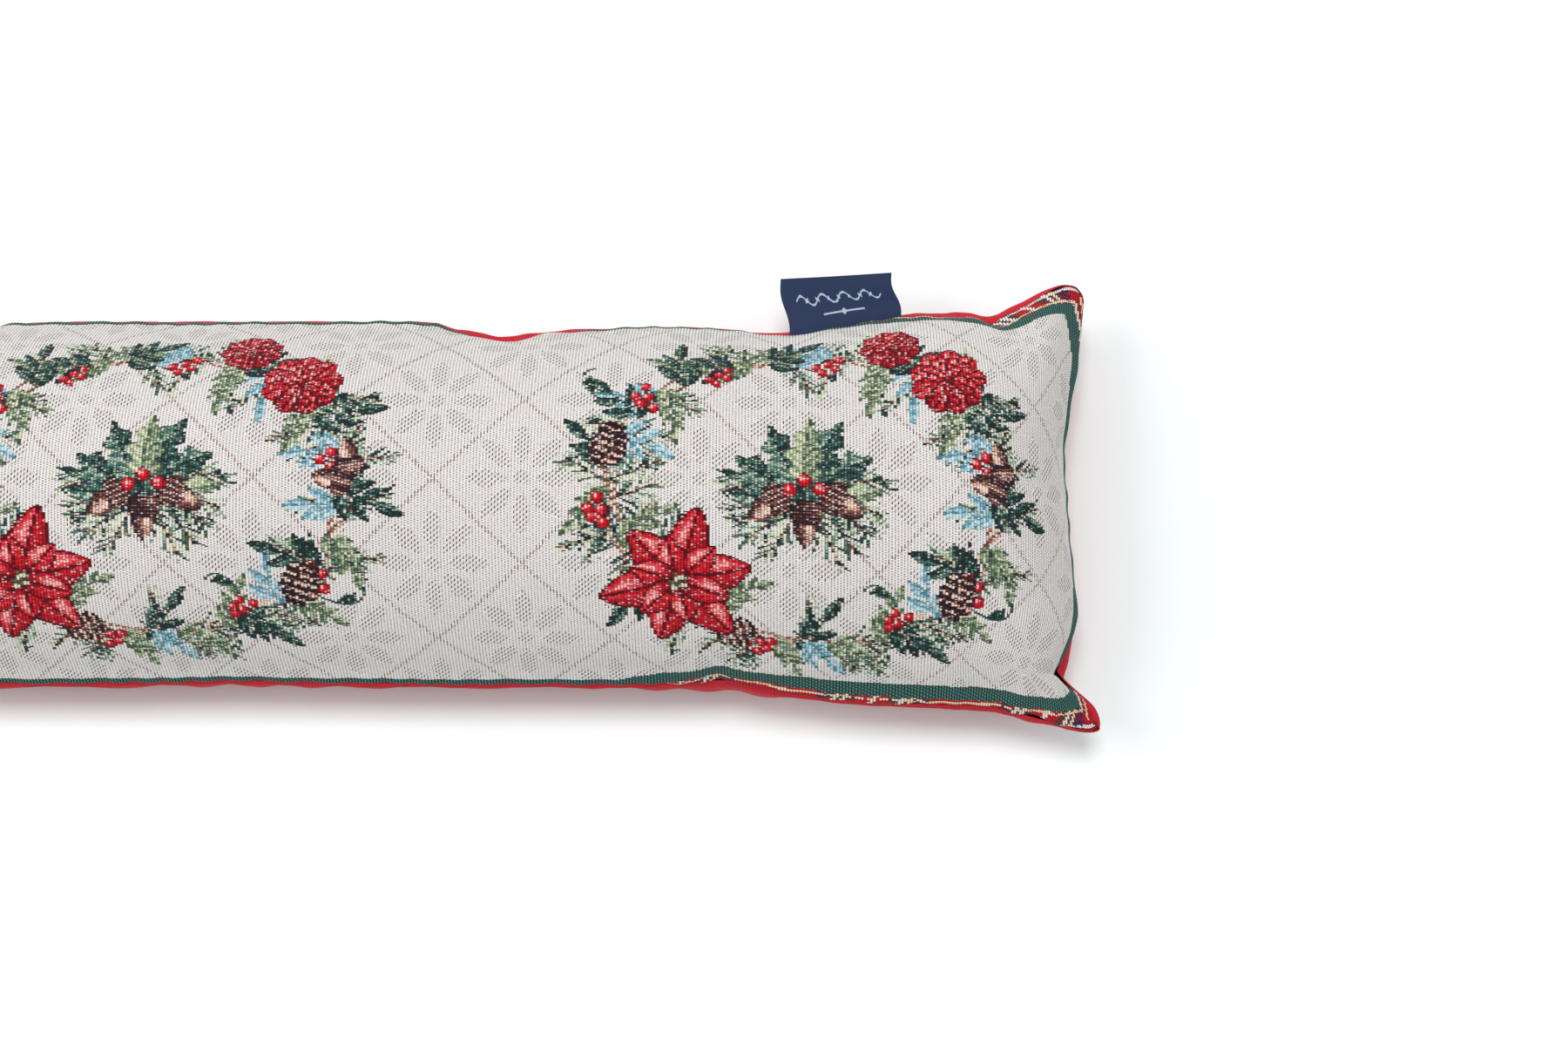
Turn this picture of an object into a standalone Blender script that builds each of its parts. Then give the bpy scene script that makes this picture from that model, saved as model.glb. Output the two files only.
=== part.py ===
"""A stuffed draught excluder that lies on its back on a floor.

Two flat panels of one size, a woven front and a plain back, are sewn face to face round
their edge, turned out and filled. The filling pulls the long sides in, rounds the ends
and leaves a thin ear at each corner. A small label is sewn into the far long seam.

The frame is +X along the length, +Y to the side with the label and +Z up. The origin is
on the floor, under the middle of the cushion.

Each surface is a function of a place on the flat panel: u runs along its length and v
across it, both from the panel's middle. The section is a circular arc whose length is the
panel's width, so the cloth keeps its size as it bends over the filling.
"""

import math
from collections import namedtuple

import bmesh
import bpy
import numpy as np

MM = 0.001
TINY = 1e-9

# Flat panels, as sewn
HALF_LENGTH = 410 * MM
HALF_WIDTH = 100 * MM
CLOTH = 1.2 * MM
GAP = 0.34 * MM
EDGE = 1.0 * MM

# Front: how far its cloth turns from the crown to the seam, at a long side and at an end
SIDE_TURN = math.radians(68.5)
END_TURN = math.radians(86)
SIDE_BEND = HALF_WIDTH / SIDE_TURN
RISE = SIDE_BEND * (1 - math.cos(SIDE_TURN))
SEAM_REACH = SIDE_BEND * math.sin(SIDE_TURN)
END_BEND = RISE / (1 - math.cos(END_TURN))
END_ARC = END_BEND * END_TURN
BARREL = HALF_LENGTH - END_ARC
END_REACH = BARREL + END_BEND * math.sin(END_TURN)

# The filled body leans a little to the far side
LEAN = 1.1 * MM

# Back: height of the seam, and the rounding from the seam down to the floor
SEAM_HEIGHT = 36 * MM
SIDE_ROUND = 26 * MM
END_ROUND = 36 * MM
PRESSED_FLAT = 0.4 * MM

# Uneven filling: waves in the height of the crown
LUMP_HEIGHT = 1.4 * MM
LUMP_LENGTH = 190 * MM
LUMP_PHASE = 0.6

# Ears: the filling stops short of each corner
EAR_SIZE = 24 * MM
EAR_FLATNESS = 0.62
CORNER_ROUND = 3.8 * MM
CORNER_SIZE = 9 * MM

# One row for each corner, in millimetres. The tip is where the corner lies, and the drop is
# how far it hangs. A neck is the distance back along the flat edge where the ear starts,
# and the blunt end is the stretch of the long seam at the corner that runs level again
Ear = namedtuple("Ear", "end side tip_x tip_y drop long_neck blunt end_neck end_power")
EARS = (
    Ear(+1, +1, 391.5, 98.2, 2.0, 55, 10, 86, 1.2),
    Ear(+1, -1, 396.0, 100.6, 3.0, 74, 2, 30, 1.1),
    Ear(-1, +1, 394.0, 98.5, 3.0, 60, 6, 40, 1.2),
    Ear(-1, -1, 390.0, 99.5, 2.0, 52, 8, 70, 1.3),
)

# One row for each end of a long seam, in millimetres: the cushion grows lower and wider
# between two places along the flat edge
Swell = namedtuple("Swell", "end side start stop width")
SWELLS = (
    Swell(+1, +1, 250, 332, 6.0),
    Swell(+1, -1, 170, 345, 8.2),
    Swell(-1, +1, 240, 345, 7.5),
    Swell(-1, -1, 250, 340, 8.0),
)
SWELL_LOSS = 0.014

# One row for each place where the seam is drawn in, in millimetres: where it is along the
# flat edge, how far in it goes, and how far the pull reaches along the edge
Pull = namedtuple("Pull", "edge at depth reach")
PULLS = (
    Pull("far", 137, 4.8, 20),
    Pull("far", 205, 1.8, 60),
    Pull("far", 257, 1.6, 14),
    Pull("far", 345, 2.4, 36),
    Pull("far", -88, 3.0, 16),
    Pull("far", -252, 4.4, 19),
    Pull("near", 233, 1.6, 11),
    Pull("near", 20, 1.2, 40),
    Pull("near", -118, 3.6, 14),
    Pull("near", -306, 2.4, 18),
    Pull("right", -71, 2.4, 10),
    Pull("right", -44, -3.2, 22),
    Pull("left", 48, 1.5, 12),
)
PULL_INWARD = 24 * MM
PULL_LIFT = 0.3

# Label: a folded ribbon, held in the far seam by one end
LABEL_AT = 285.8 * MM
LABEL_WIDTH = 48.6 * MM
LABEL_LENGTH = 20.5 * MM
LABEL_TILT = 3.4 * MM
LABEL_THICK = 1.0 * MM
LABEL_SKEW = -3.8 * MM
LABEL_WAVE = 0.9 * MM
LABEL_DROOP = 2.0 * MM

# Grid of each panel: faces along and across, and how far they crowd to the edges
FACES_ALONG = 62
FACES_ACROSS = 14
CROWDING = 0.55
LABEL_FACES_ALONG = 8
LABEL_FACES_ACROSS = 5

# Colour and roughness of each piece
TAPESTRY_COLOUR = (0.78, 0.73, 0.67, 1)
BACK_COLOUR = (0.55, 0.01, 0.02, 1)
LABEL_COLOUR = (0.025, 0.05, 0.16, 1)
CLOTH_ROUGHNESS = 0.85


# Small helpers
def smooth(share):
    """Eases a share from 0 to 1 in and out."""
    return share * share * (3 - 2 * share)


def bell(distance, reach):
    """1 at no distance, falling smoothly to 0 past the reach."""
    return np.exp(-((distance / reach) ** 2))


def ramp(value, low, high):
    """0 below low, 1 above high, and straight between."""
    return np.clip((value - low) / (high - low), 0, 1)


def mix(a, b, share):
    """a where the share is 0, b where it is 1."""
    return a + (b - a) * share


def arc_height(share, turn):
    """Height of a circular arc over its chord, 1 at the crown, at a share of its length."""
    return (np.cos(turn * share) - math.cos(turn)) / (1 - math.cos(turn))


def arc_reach(share, turn):
    """How far out a circular arc has come, 1 at the seam, at a share of its length."""
    return np.sin(turn * share) / math.sin(turn)


# Seam: where the edge of both panels runs
def pull_at(edge, along):
    """How far the seam of one edge is drawn in at places along it."""
    total = np.zeros_like(along)
    for row in PULLS:
        if row.edge == edge:
            total += row.depth * MM * bell(along - row.at * MM, row.reach * MM)
    return total


def swell_at(side, u):
    """How much wider one side is than the barrel, before the ears."""
    wider = np.zeros_like(u)
    for row in SWELLS:
        if row.side == side:
            share = smooth(ramp(row.end * u, row.start * MM, row.stop * MM))
            wider += row.width * MM * share
    return wider


def side_reach(side, u):
    """How far out one long seam runs, with its ears, before the pulls."""
    reach = SEAM_REACH + side * LEAN + swell_at(side, u)
    for ear in EARS:
        if ear.side == side:
            neck = HALF_LENGTH - ear.long_neck * MM
            flare = smooth(ramp(ear.end * u, neck, HALF_LENGTH - ear.blunt * MM))
            reach = mix(reach, ear.tip_y * MM, flare)
    return reach


def end_reach(end, v):
    """How far out one end seam runs, with its ears and pulls."""
    reach = np.full_like(v, END_REACH)
    for ear in EARS:
        if ear.end == end:
            neck = HALF_WIDTH - ear.end_neck * MM
            flare = ramp(ear.side * v, neck, HALF_WIDTH) ** ear.end_power
            reach += (ear.tip_x * MM - END_REACH) * flare
    return reach - pull_at("right" if end > 0 else "left", v)


def seam_height(u, v):
    """Height of the seam plane: lower at the ears and lifted at the pulls."""
    height = np.full_like(u, SEAM_HEIGHT)
    for ear in EARS:
        corner = np.hypot(ear.end * u - HALF_LENGTH, ear.side * v - HALF_WIDTH)
        height -= ear.drop * MM * bell(corner, 2 * EAR_SIZE)
    lift = mix(pull_at("near", u), pull_at("far", u), v > 0)
    return height + PULL_LIFT * lift * near_edge(v)


def near_edge(v):
    """1 at a long seam, falling to 0 inward: how far in a pull is felt."""
    return np.exp(-(HALF_WIDTH - np.abs(v)) / PULL_INWARD) * np.abs(v / HALF_WIDTH)


def corner_distance(u, v):
    """Distance on the flat panel to the nearest corner."""
    return np.hypot(HALF_LENGTH - np.abs(u), HALF_WIDTH - np.abs(v))


def fullness(across, along, u, v):
    """Joins the profiles across and along, both 0 to 1, with the corners left thin."""
    both = across**2 + along**2 - (across * along) ** 2
    joined = across * along / np.sqrt(np.maximum(both, TINY))
    return joined * (1 - EAR_FLATNESS * bell(corner_distance(u, v), EAR_SIZE))


def place_across(u, v, share):
    """Y of the panels, where share is the place between the middle and the seam."""
    far = side_reach(+1, u)
    near = side_reach(-1, u)
    drawn = mix(-pull_at("near", u), pull_at("far", u), v > 0) * near_edge(v)
    return (far - near) / 2 + (far + near) / 2 * share - drawn


def round_corner(x, y, u, v):
    """Rounds the tip of each corner."""
    inward = CORNER_ROUND * bell(corner_distance(u, v), CORNER_SIZE) / math.sqrt(2)
    return x - inward * np.sign(u), y - inward * np.sign(v)


def end_place(u, v, share):
    """X of the panels: as cut along the barrel, then out to the end seam."""
    reach = np.where(u > 0, end_reach(+1, v), end_reach(-1, v))
    past = BARREL + (reach - BARREL) * share
    return np.sign(u) * np.where(np.abs(u) < BARREL, np.abs(u), past)


# Front: the tapestry over the filling
def front_points(u, v):
    """The front surface over places on the flat panel."""
    across = np.abs(v) / HALF_WIDTH
    along = ramp(np.abs(u), BARREL, HALF_LENGTH)
    height_across = arc_height(across, SIDE_TURN)
    height_along = arc_height(along, END_TURN)
    share = np.sign(v) * mix(across, arc_reach(across, SIDE_TURN), height_along)
    y = place_across(u, v, share)
    x = end_place(u, v, mix(along, arc_reach(along, END_TURN), height_across))
    full = fullness(height_across, height_along, u, v)
    lump = 1 + LUMP_HEIGHT / RISE * np.sin(2 * math.pi * u / LUMP_LENGTH + LUMP_PHASE)
    wider = (swell_at(+1, u) + swell_at(-1, u)) / MM
    rise = RISE * lump * (1 - SWELL_LOSS / 2 * wider)
    x, y = round_corner(x, y, u, v)
    return np.stack([x, y, seam_height(u, v) + rise * full], axis=-1)


# Back: from the seam round to the floor
def rounding(inward, radius):
    """Outward shift, height and length of the arc from the seam to the floor.

    The cushion's weight presses the lowest part of the arc flat.
    """
    start = math.asin((SEAM_HEIGHT - radius) / radius)
    length = radius * (start + math.pi / 2)
    angle = start - np.minimum(inward, length) / radius
    shift = radius * (np.cos(angle) - math.cos(start))
    height = radius * (1 + np.sin(angle))
    return shift, np.where(height < PRESSED_FLAT, 0, height), length


def back_points(u, v):
    """The outer surface of the back over places on the flat panel."""
    from_side = HALF_WIDTH - np.abs(v)
    from_end = HALF_LENGTH - np.abs(u)
    side_shift, side_height, side_length = rounding(from_side, SIDE_ROUND)
    end_shift, end_height, end_length = rounding(from_end, END_ROUND)
    depth_across = 1 - side_height / SEAM_HEIGHT
    depth_along = 1 - end_height / SEAM_HEIGHT

    flat_share = np.abs(v) / HALF_WIDTH
    foot = (SEAM_REACH + side_shift) / SEAM_REACH
    on_floor = ramp(np.abs(v), 0, HALF_WIDTH - side_length)
    round_share = np.where(from_side < side_length, foot, foot * on_floor)
    share = np.sign(v) * mix(flat_share, round_share, depth_along)
    y = place_across(u, v, share)

    along = ramp(np.abs(u), BARREL, HALF_LENGTH)
    run = END_REACH - BARREL
    heel = (run + end_shift) / run
    on_floor = ramp(np.abs(u), BARREL, HALF_LENGTH - end_length)
    round_along = np.where(from_end < end_length, heel, heel * on_floor)
    x = end_place(u, v, mix(along, round_along, depth_across))

    full = fullness(depth_across, depth_along, u, v)
    x, y = round_corner(x, y, u, v)
    return np.stack([x, y, seam_height(u, v) * (1 - full)], axis=-1)


# Sheets that lie along another sheet
def unit(vectors):
    """Vectors of length 1, where none is left at 0."""
    length = np.linalg.norm(vectors, axis=-1, keepdims=True)
    return vectors / np.maximum(length, TINY)


def inward_steps(points):
    """For each point of the back, the step inward that thickens every face by 1."""
    across = points[1:, :-1] - points[:-1, 1:]
    along = points[1:, 1:] - points[:-1, :-1]
    faces = unit(np.cross(across, along))
    padded = np.pad(faces, ((1, 1), (1, 1), (0, 0)), mode="edge")
    around = np.stack([padded[:-1, :-1], padded[1:, :-1], padded[:-1, 1:], padded[1:, 1:]])
    normal = unit(around.sum(axis=0))
    return normal / np.mean(np.sum(around * normal, axis=-1), axis=0)[..., None]


def seam_direction(points, normal):
    """At the edge of the back, the direction in which its cloth would run on."""
    inner = points.copy()
    inner[0], inner[-1] = points[1], points[-2]
    inner[:, 0], inner[:, -1] = inner[:, 1], inner[:, -2]
    edge = np.linalg.norm(inner - points, axis=-1, keepdims=True) > 0
    step = unit(np.where(edge, points - inner, [0.0, 0.0, 1.0]))
    level = unit(normal)
    onward = step - np.sum(step * level, axis=-1, keepdims=True) * level
    return np.where(edge, unit(onward), 0)


# Objects
def material(name, colour):
    """A plain cloth finish."""
    finish = bpy.data.materials.new(name)
    finish.use_nodes = True
    shader = finish.node_tree.nodes["Principled BSDF"]
    shader.inputs["Base Color"].default_value = colour
    shader.inputs["Roughness"].default_value = CLOTH_ROUGHNESS
    shader.inputs["Metallic"].default_value = 0
    finish.diffuse_color = colour
    return finish


def slab(name, upper, lower, colour, collection):
    """A grid that is extruded into a closed slab, its two faces laid on two sheets."""
    along, across = upper.shape[0] - 1, upper.shape[1] - 1
    work = bmesh.new()
    bmesh.ops.create_grid(work, x_segments=along, y_segments=across, size=1)
    base = list(work.verts)
    places = [
        (round((v.co.x + 1) / 2 * along), round((v.co.y + 1) / 2 * across)) for v in base
    ]
    made = bmesh.ops.extrude_face_region(work, geom=work.faces[:], use_keep_orig=True)
    top = [item for item in made["geom"] if isinstance(item, bmesh.types.BMVert)]
    for vertex in top:
        i = round((vertex.co.x + 1) / 2 * along)
        j = round((vertex.co.y + 1) / 2 * across)
        vertex.co = upper[i, j]
    for vertex, (i, j) in zip(base, places):
        vertex.co = lower[i, j]
    bmesh.ops.recalc_face_normals(work, faces=work.faces[:])
    mesh = bpy.data.meshes.new(name)
    work.to_mesh(mesh)
    work.free()
    mesh.shade_smooth()
    mesh.materials.append(material(name, colour))
    piece = bpy.data.objects.new(name, mesh)
    collection.objects.link(piece)
    return piece


def stations(half, count):
    """Places from one edge to the other, closer together near the edges."""
    even = np.linspace(-1, 1, count + 1)
    return half * mix(even, np.sin(even * math.pi / 2), CROWDING)


def panels(collection):
    """The filled cushion under its front, and the back panel under the filling."""
    u, v = np.meshgrid(
        stations(HALF_LENGTH, FACES_ALONG), stations(HALF_WIDTH, FACES_ACROSS), indexing="ij"
    )
    outer = back_points(u, v)
    inward = inward_steps(outer)
    onward = seam_direction(outer, inward)
    slab("back_panel", outer + CLOTH * inward, outer, BACK_COLOUR, collection)

    along = ramp(np.abs(u), BARREL, HALF_LENGTH)
    thin = 1 - arc_height(np.abs(v) / HALF_WIDTH, SIDE_TURN)
    thin *= 1 - arc_height(along, END_TURN)
    front = front_points(u, v) + GAP * onward
    front[..., 2] += (CLOTH + GAP + EDGE) * thin
    underside = outer + (CLOTH + GAP) * inward + GAP * onward
    slab("cushion", front, underside, TAPESTRY_COLOUR, collection)


def label(collection):
    """The label, whose root follows the far seam."""
    half = LABEL_WIDTH / 2
    u = np.linspace(LABEL_AT - half, LABEL_AT + half, LABEL_FACES_ALONG + 1)
    out = np.linspace(0, 1, LABEL_FACES_ACROSS + 1)
    root = front_points(u, np.full_like(u, HALF_WIDTH))
    sheet = np.repeat(root[:, None, :], len(out), axis=1)
    wave = LABEL_WAVE * np.sin(2 * math.pi * out)
    sheet[..., 0] += LABEL_SKEW * out + wave
    free_edge = np.mean(root[:, 1]) + LABEL_LENGTH + LABEL_TILT * ramp(u, u[0], u[-1])[:, None]
    sheet[..., 1] = mix(root[:, 1:2] + GAP, free_edge, out)
    curl = wave * ramp(u, u[0], u[-1])[:, None]
    sheet[..., 2] += LABEL_THICK / 2 + GAP - LABEL_DROOP * out**2 + curl
    up = np.array([0, 0, LABEL_THICK / 2])
    slab("label", sheet + up, sheet - up, LABEL_COLOUR, collection)


def main():
    for old in list(bpy.data.objects):
        bpy.data.objects.remove(old, do_unlink=True)
    collection = bpy.data.collections.new("draught_excluder")
    bpy.context.scene.collection.children.link(collection)
    panels(collection)
    label(collection)


main()
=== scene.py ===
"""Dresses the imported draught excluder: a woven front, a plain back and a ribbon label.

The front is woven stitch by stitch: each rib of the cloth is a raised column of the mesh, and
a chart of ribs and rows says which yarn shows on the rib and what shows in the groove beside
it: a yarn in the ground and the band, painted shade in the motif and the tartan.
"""

import copy
import math
from collections import namedtuple

import bpy
import numpy as np
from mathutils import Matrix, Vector


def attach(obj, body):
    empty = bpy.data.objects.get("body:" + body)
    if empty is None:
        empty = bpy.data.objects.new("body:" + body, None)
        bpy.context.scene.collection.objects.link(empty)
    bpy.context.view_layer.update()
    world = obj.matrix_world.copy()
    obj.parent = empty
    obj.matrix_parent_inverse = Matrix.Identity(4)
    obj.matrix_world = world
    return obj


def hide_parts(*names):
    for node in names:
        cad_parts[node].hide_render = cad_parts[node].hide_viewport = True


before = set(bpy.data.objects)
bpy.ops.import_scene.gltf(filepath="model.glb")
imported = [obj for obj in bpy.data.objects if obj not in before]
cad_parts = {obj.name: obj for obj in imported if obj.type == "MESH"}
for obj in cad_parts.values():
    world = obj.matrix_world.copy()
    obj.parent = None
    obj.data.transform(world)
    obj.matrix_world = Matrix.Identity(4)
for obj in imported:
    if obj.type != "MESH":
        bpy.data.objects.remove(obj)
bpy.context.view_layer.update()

MM = 0.001
TINY = 1e-9

# Flat panels, as sewn
HALF_LENGTH = 410 * MM
HALF_WIDTH = 100 * MM

# Front: how far its cloth turns from the crown to the seam, at a long side and at an end
SIDE_TURN = math.radians(68.5)
END_TURN = math.radians(86)
SIDE_BEND = HALF_WIDTH / SIDE_TURN
RISE = SIDE_BEND * (1 - math.cos(SIDE_TURN))
SEAM_REACH = SIDE_BEND * math.sin(SIDE_TURN)
END_BEND = RISE / (1 - math.cos(END_TURN))
END_ARC = END_BEND * END_TURN
BARREL = HALF_LENGTH - END_ARC
END_REACH = BARREL + END_BEND * math.sin(END_TURN)

# The filled body leans a little to the far side
LEAN = 1.1 * MM

# Back: height of the seam, and the rounding from the seam down to the floor
SEAM_HEIGHT = 36 * MM
SIDE_ROUND = 26 * MM
END_ROUND = 36 * MM
PRESSED_FLAT = 0.4 * MM

# Uneven filling: waves in the height of the crown
LUMP_HEIGHT = 1.4 * MM
LUMP_LENGTH = 190 * MM
LUMP_PHASE = 0.6

# Ears: the filling stops short of each corner
EAR_SIZE = 24 * MM
EAR_FLATNESS = 0.62
CORNER_ROUND = 4.4 * MM
CORNER_SIZE = 11 * MM

# One row for each corner, in millimetres. The tip is where the corner lies, and the drop is
# how far it hangs. A neck is the distance back along the flat edge where the ear starts,
# the blunt end is the stretch of the long seam at the corner that runs level again, and a
# larger end power has the end seam flare later
Ear = namedtuple("Ear", "end side tip_x tip_y drop long_neck blunt end_neck end_power")
EARS = (
    Ear(+1, +1, 391.5, 99.4, 2.0, 55, 10, 86, 1.2),
    Ear(+1, -1, 396.8, 99.8, 3.0, 74, 2, 27, 0.6),
    Ear(-1, +1, 394.0, 98.5, 3.0, 60, 6, 40, 1.2),
    Ear(-1, -1, 390.0, 99.5, 2.0, 52, 8, 70, 1.3),
)

# One row for each end of a long seam, in millimetres: the cushion grows wider between two
# places along the flat edge, and loses a share of its height for each millimetre
Swell = namedtuple("Swell", "end side start stop width")
SWELLS = (
    Swell(+1, +1, 250, 332, 6.0),
    Swell(+1, -1, 170, 345, 8.2),
    Swell(-1, +1, 240, 345, 7.5),
    Swell(-1, -1, 250, 340, 8.0),
)
SWELL_LOSS = 0.014

# Where each seam is drawn in, in millimetres: the place along the flat edge, how far in it
# goes, and how far the pull reaches along the edge. It fades inward, and lifts the seam by
# a share of its depth
PULLS = {
    "far": (
        (137, 5.0, 19), (205, 2.4, 60), (259, 3.4, 19), (356, 1.8, 7), (-88, 3.0, 16),
        (-252, 4.4, 19),
    ),
    "near": ((233, 1.6, 11), (20, 1.2, 40), (-118, 3.6, 14), (-306, 2.4, 18)),
    "right": ((-76, 3.4, 8), (-44, -1.6, 20), (21, 2.5, 26)),
    "left": ((48, 1.5, 12),),
}
PULL_INWARD = 24 * MM
PULL_LIFT = 0.3

# Label: a folded ribbon, held in the far seam by one end
LABEL_AT = 285.8 * MM
LABEL_WIDTH = 48.6 * MM
LABEL_LENGTH = 20.5 * MM
LABEL_TILT = 3.4 * MM
LABEL_SKEW = -3.8 * MM
LABEL_WAVE = 0.9 * MM
LABEL_DROOP = 2.0 * MM

# Seam: a groove where both panels turn in
TUCK_DEPTH = 1.2 * MM
TUCK_WIDTH = 2.4 * MM

# Rim: how far a seam stands out from the body, in pairs of the place along the edge and the
# distance, in millimetres. Where the rim is drawn in, the back shows from above
NEAR_RIM = (
    (-392, 0.2), (-330, 1.4), (60, 1.6), (190, 1.8), (218, 0.2), (240, -0.4), (262, 1.8),
    (300, 3.0), (340, 3.0), (368, 0.8), (388, -0.8), (410, -1.0),
)
FAR_RIM = (
    (-392, 0.0), (-340, 1.8), (108, 2.0), (122, -1.8), (137, -6.4), (150, -4.2), (158, -0.6),
    (172, -0.2), (196, 1.4), (218, 1.4), (240, 0.4), (255, -0.8), (262, -1.4), (282, -1.2),
    (330, -1.0), (350, -2.2), (368, -2.8), (384, -2.4), (398, -0.8), (410, 0),
)
RIGHT_RIM = (
    (-100, -1.2), (-93, -2.8), (-84, -4.0), (-75, -3.6), (-66, -2.2), (-56, -0.2),
    (-48, 0.8), (60, 1.4), (84, 1.6), (94, 1.2), (100, 0.2),
)

# How far inward a rim is felt, where it stands out and where it is drawn in, and how much of
# a drawn-in rim the back rolls out again beside an ear, but less at its tip
RIM_OUT_REACH = 12 * MM
FRONT_DRAWN_REACH = 22 * MM
BACK_DRAWN_REACH = 5 * MM
ROLL = 1.6
EAR_ROLL = 0.6

# Weave of the front: ribs along the panel, and two picks in each row across it. The mesh of
# the back is coarser, and the front's is in pieces, each with its first and last rib
RIBS = 630
ROWS = 192
PICKS = 2 * ROWS
RIB = 2 * HALF_LENGTH / RIBS
ROW = 2 * HALF_WIDTH / ROWS
PICK = ROW / 2
RIB_RELIEF = 0.1 * MM
BACK_STEP = 2.0 * MM
PIECES = (("tapestry_left", 0, 212), ("tapestry_middle", 212, 418), ("tapestry_right", 418, 630))

# Motif: how many ribs it takes, and where its sheet starts
MOTIF_RIBS = 206
MOTIF_START = 212

# Lattice of the ground, in millimetres: half a diamond along and across, its place, and how
# far apart its lines are
LATTICE_LONG = 36.25
LATTICE_WIDE = 35.0
LATTICE_START = 153
LATTICE_GAP = 25.2

# How strongly dots show in the grooves, outside the rosettes and inside them, and the painted
# shade between
SMALL_DOTS = 0.74
LONG_DOTS = 1.0
GAP_SHADE = 0.1

# Grooves of the motif hold painted shade, a darker yarn of the ramp dimmed: how bright it is
# beside its yarn, how much less it shows at a pale yarn, and how strong every second one is, for
# the weave's grid
GROOVE_SHADE = 0.6
GROOVE_FADE = 0.25
GROOVE_SECOND = 0.55

# The share of stitches of the motif that are mixed with cream, and how much
SPECKS = 0.08
SPECK_MIX = 0.55

# How far apart needles stand on a twig and scales on a seed head, in millimetres
NEEDLE_STEP = 1.9
SCALE_STEP = 3.4

# How bright the light makes the cloth, so that a yarn's colour is set by how it looks
LIGHT_LEVEL = 1.14


# Small helpers
def smooth(share):
    """Eases a share from 0 to 1 in and out."""
    return share * share * (3 - 2 * share)


def bell(distance, reach):
    """1 at no distance, falling smoothly to 0 past the reach."""
    return np.exp(-((distance / reach) ** 2))


def ramp(value, low, high):
    """0 below low, 1 above high, and straight between."""
    return np.clip((value - low) / (high - low), 0, 1)


def mix(a, b, share):
    """a where the share is 0, b where it is 1."""
    return a + (b - a) * share


def arc_height(share, turn):
    """Height of a circular arc over its chord, 1 at the crown, at a share of its length."""
    return (np.cos(turn * share) - math.cos(turn)) / (1 - math.cos(turn))


def arc_reach(share, turn):
    """How far out a circular arc has come, 1 at the seam, at a share of its length."""
    return np.sin(turn * share) / math.sin(turn)


def normals(points):
    """The normal at each point of a grid whose rows run along u and columns along v."""
    normal = np.cross(np.gradient(points, axis=0), np.gradient(points, axis=1))
    return normal / np.maximum(np.linalg.norm(normal, axis=-1, keepdims=True), TINY)


def inward(u, v):
    """Distances on the flat panel from the nearer end and from the nearer long seam."""
    return HALF_LENGTH - np.abs(u), HALF_WIDTH - np.abs(v)


def value_at(pairs, place):
    """The value at places along an edge, straight between the pairs of a table."""
    return np.interp(place, *zip(*pairs))


# Seam: where the edge of both panels runs
def pull_at(edge, along):
    """How far the seam of one edge is drawn in at places along it."""
    rows = np.multiply(PULLS[edge], MM)
    return sum(depth * bell(along - at, reach) for at, depth, reach in rows)


def side_pull(u, v):
    """How far the nearer long seam is drawn in."""
    return np.where(v > 0, pull_at("far", u), pull_at("near", u))


def swell_at(side, u):
    """How much wider one side is than the barrel, before the ears."""
    wider = np.zeros_like(u)
    for row in SWELLS:
        if row.side == side:
            share = smooth(ramp(row.end * u, row.start * MM, row.stop * MM))
            wider += row.width * MM * share
    return wider


def side_reach(side, u):
    """How far out one long seam runs, with its ears, before the pulls."""
    reach = SEAM_REACH + side * LEAN + swell_at(side, u)
    for ear in EARS:
        if ear.side == side:
            neck = HALF_LENGTH - ear.long_neck * MM
            flare = smooth(ramp(ear.end * u, neck, HALF_LENGTH - ear.blunt * MM))
            reach = mix(reach, ear.tip_y * MM, flare)
    return reach


def end_reach(end, v):
    """How far out one end seam runs, with its ears and pulls."""
    reach = np.full_like(v, END_REACH)
    for ear in EARS:
        if ear.end == end:
            neck = HALF_WIDTH - ear.end_neck * MM
            flare = ramp(ear.side * v, neck, HALF_WIDTH) ** ear.end_power
            reach += (ear.tip_x * MM - END_REACH) * flare
    return reach - pull_at("right" if end > 0 else "left", v)


def seam_height(u, v):
    """Height of the seam plane: lower at the ears and lifted at the pulls."""
    height = np.full_like(u, SEAM_HEIGHT)
    for ear in EARS:
        corner = np.hypot(ear.end * u - HALF_LENGTH, ear.side * v - HALF_WIDTH)
        height -= ear.drop * MM * bell(corner, 2 * EAR_SIZE)
    return height + PULL_LIFT * side_pull(u, v) * near_edge(v)


def near_edge(v):
    """1 at a long seam, falling to 0 inward: how far in a pull is felt."""
    return np.exp(-(HALF_WIDTH - np.abs(v)) / PULL_INWARD) * np.abs(v / HALF_WIDTH)


def corner_distance(u, v):
    """Distance on the flat panel to the nearest corner."""
    return np.hypot(*inward(u, v))


def fullness(across, along, u, v):
    """Joins the profiles across and along, both 0 to 1, with the corners left thin."""
    both = across**2 + along**2 - (across * along) ** 2
    joined = across * along / np.sqrt(np.maximum(both, TINY))
    return joined * (1 - EAR_FLATNESS * bell(corner_distance(u, v), EAR_SIZE))


def place_across(u, v, share):
    """Y of the panels, where share is the place between the middle and the seam."""
    far = side_reach(+1, u)
    near = side_reach(-1, u)
    drawn = np.sign(v) * side_pull(u, v) * near_edge(v)
    return (far - near) / 2 + (far + near) / 2 * share - drawn


def round_corner(x, y, u, v):
    """Rounds the tip of each corner."""
    cut = CORNER_ROUND * (1 - ramp(corner_distance(u, v), 0, CORNER_SIZE)) ** 2 / math.sqrt(2)
    return x - cut * np.sign(u), y - cut * np.sign(v)


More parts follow.
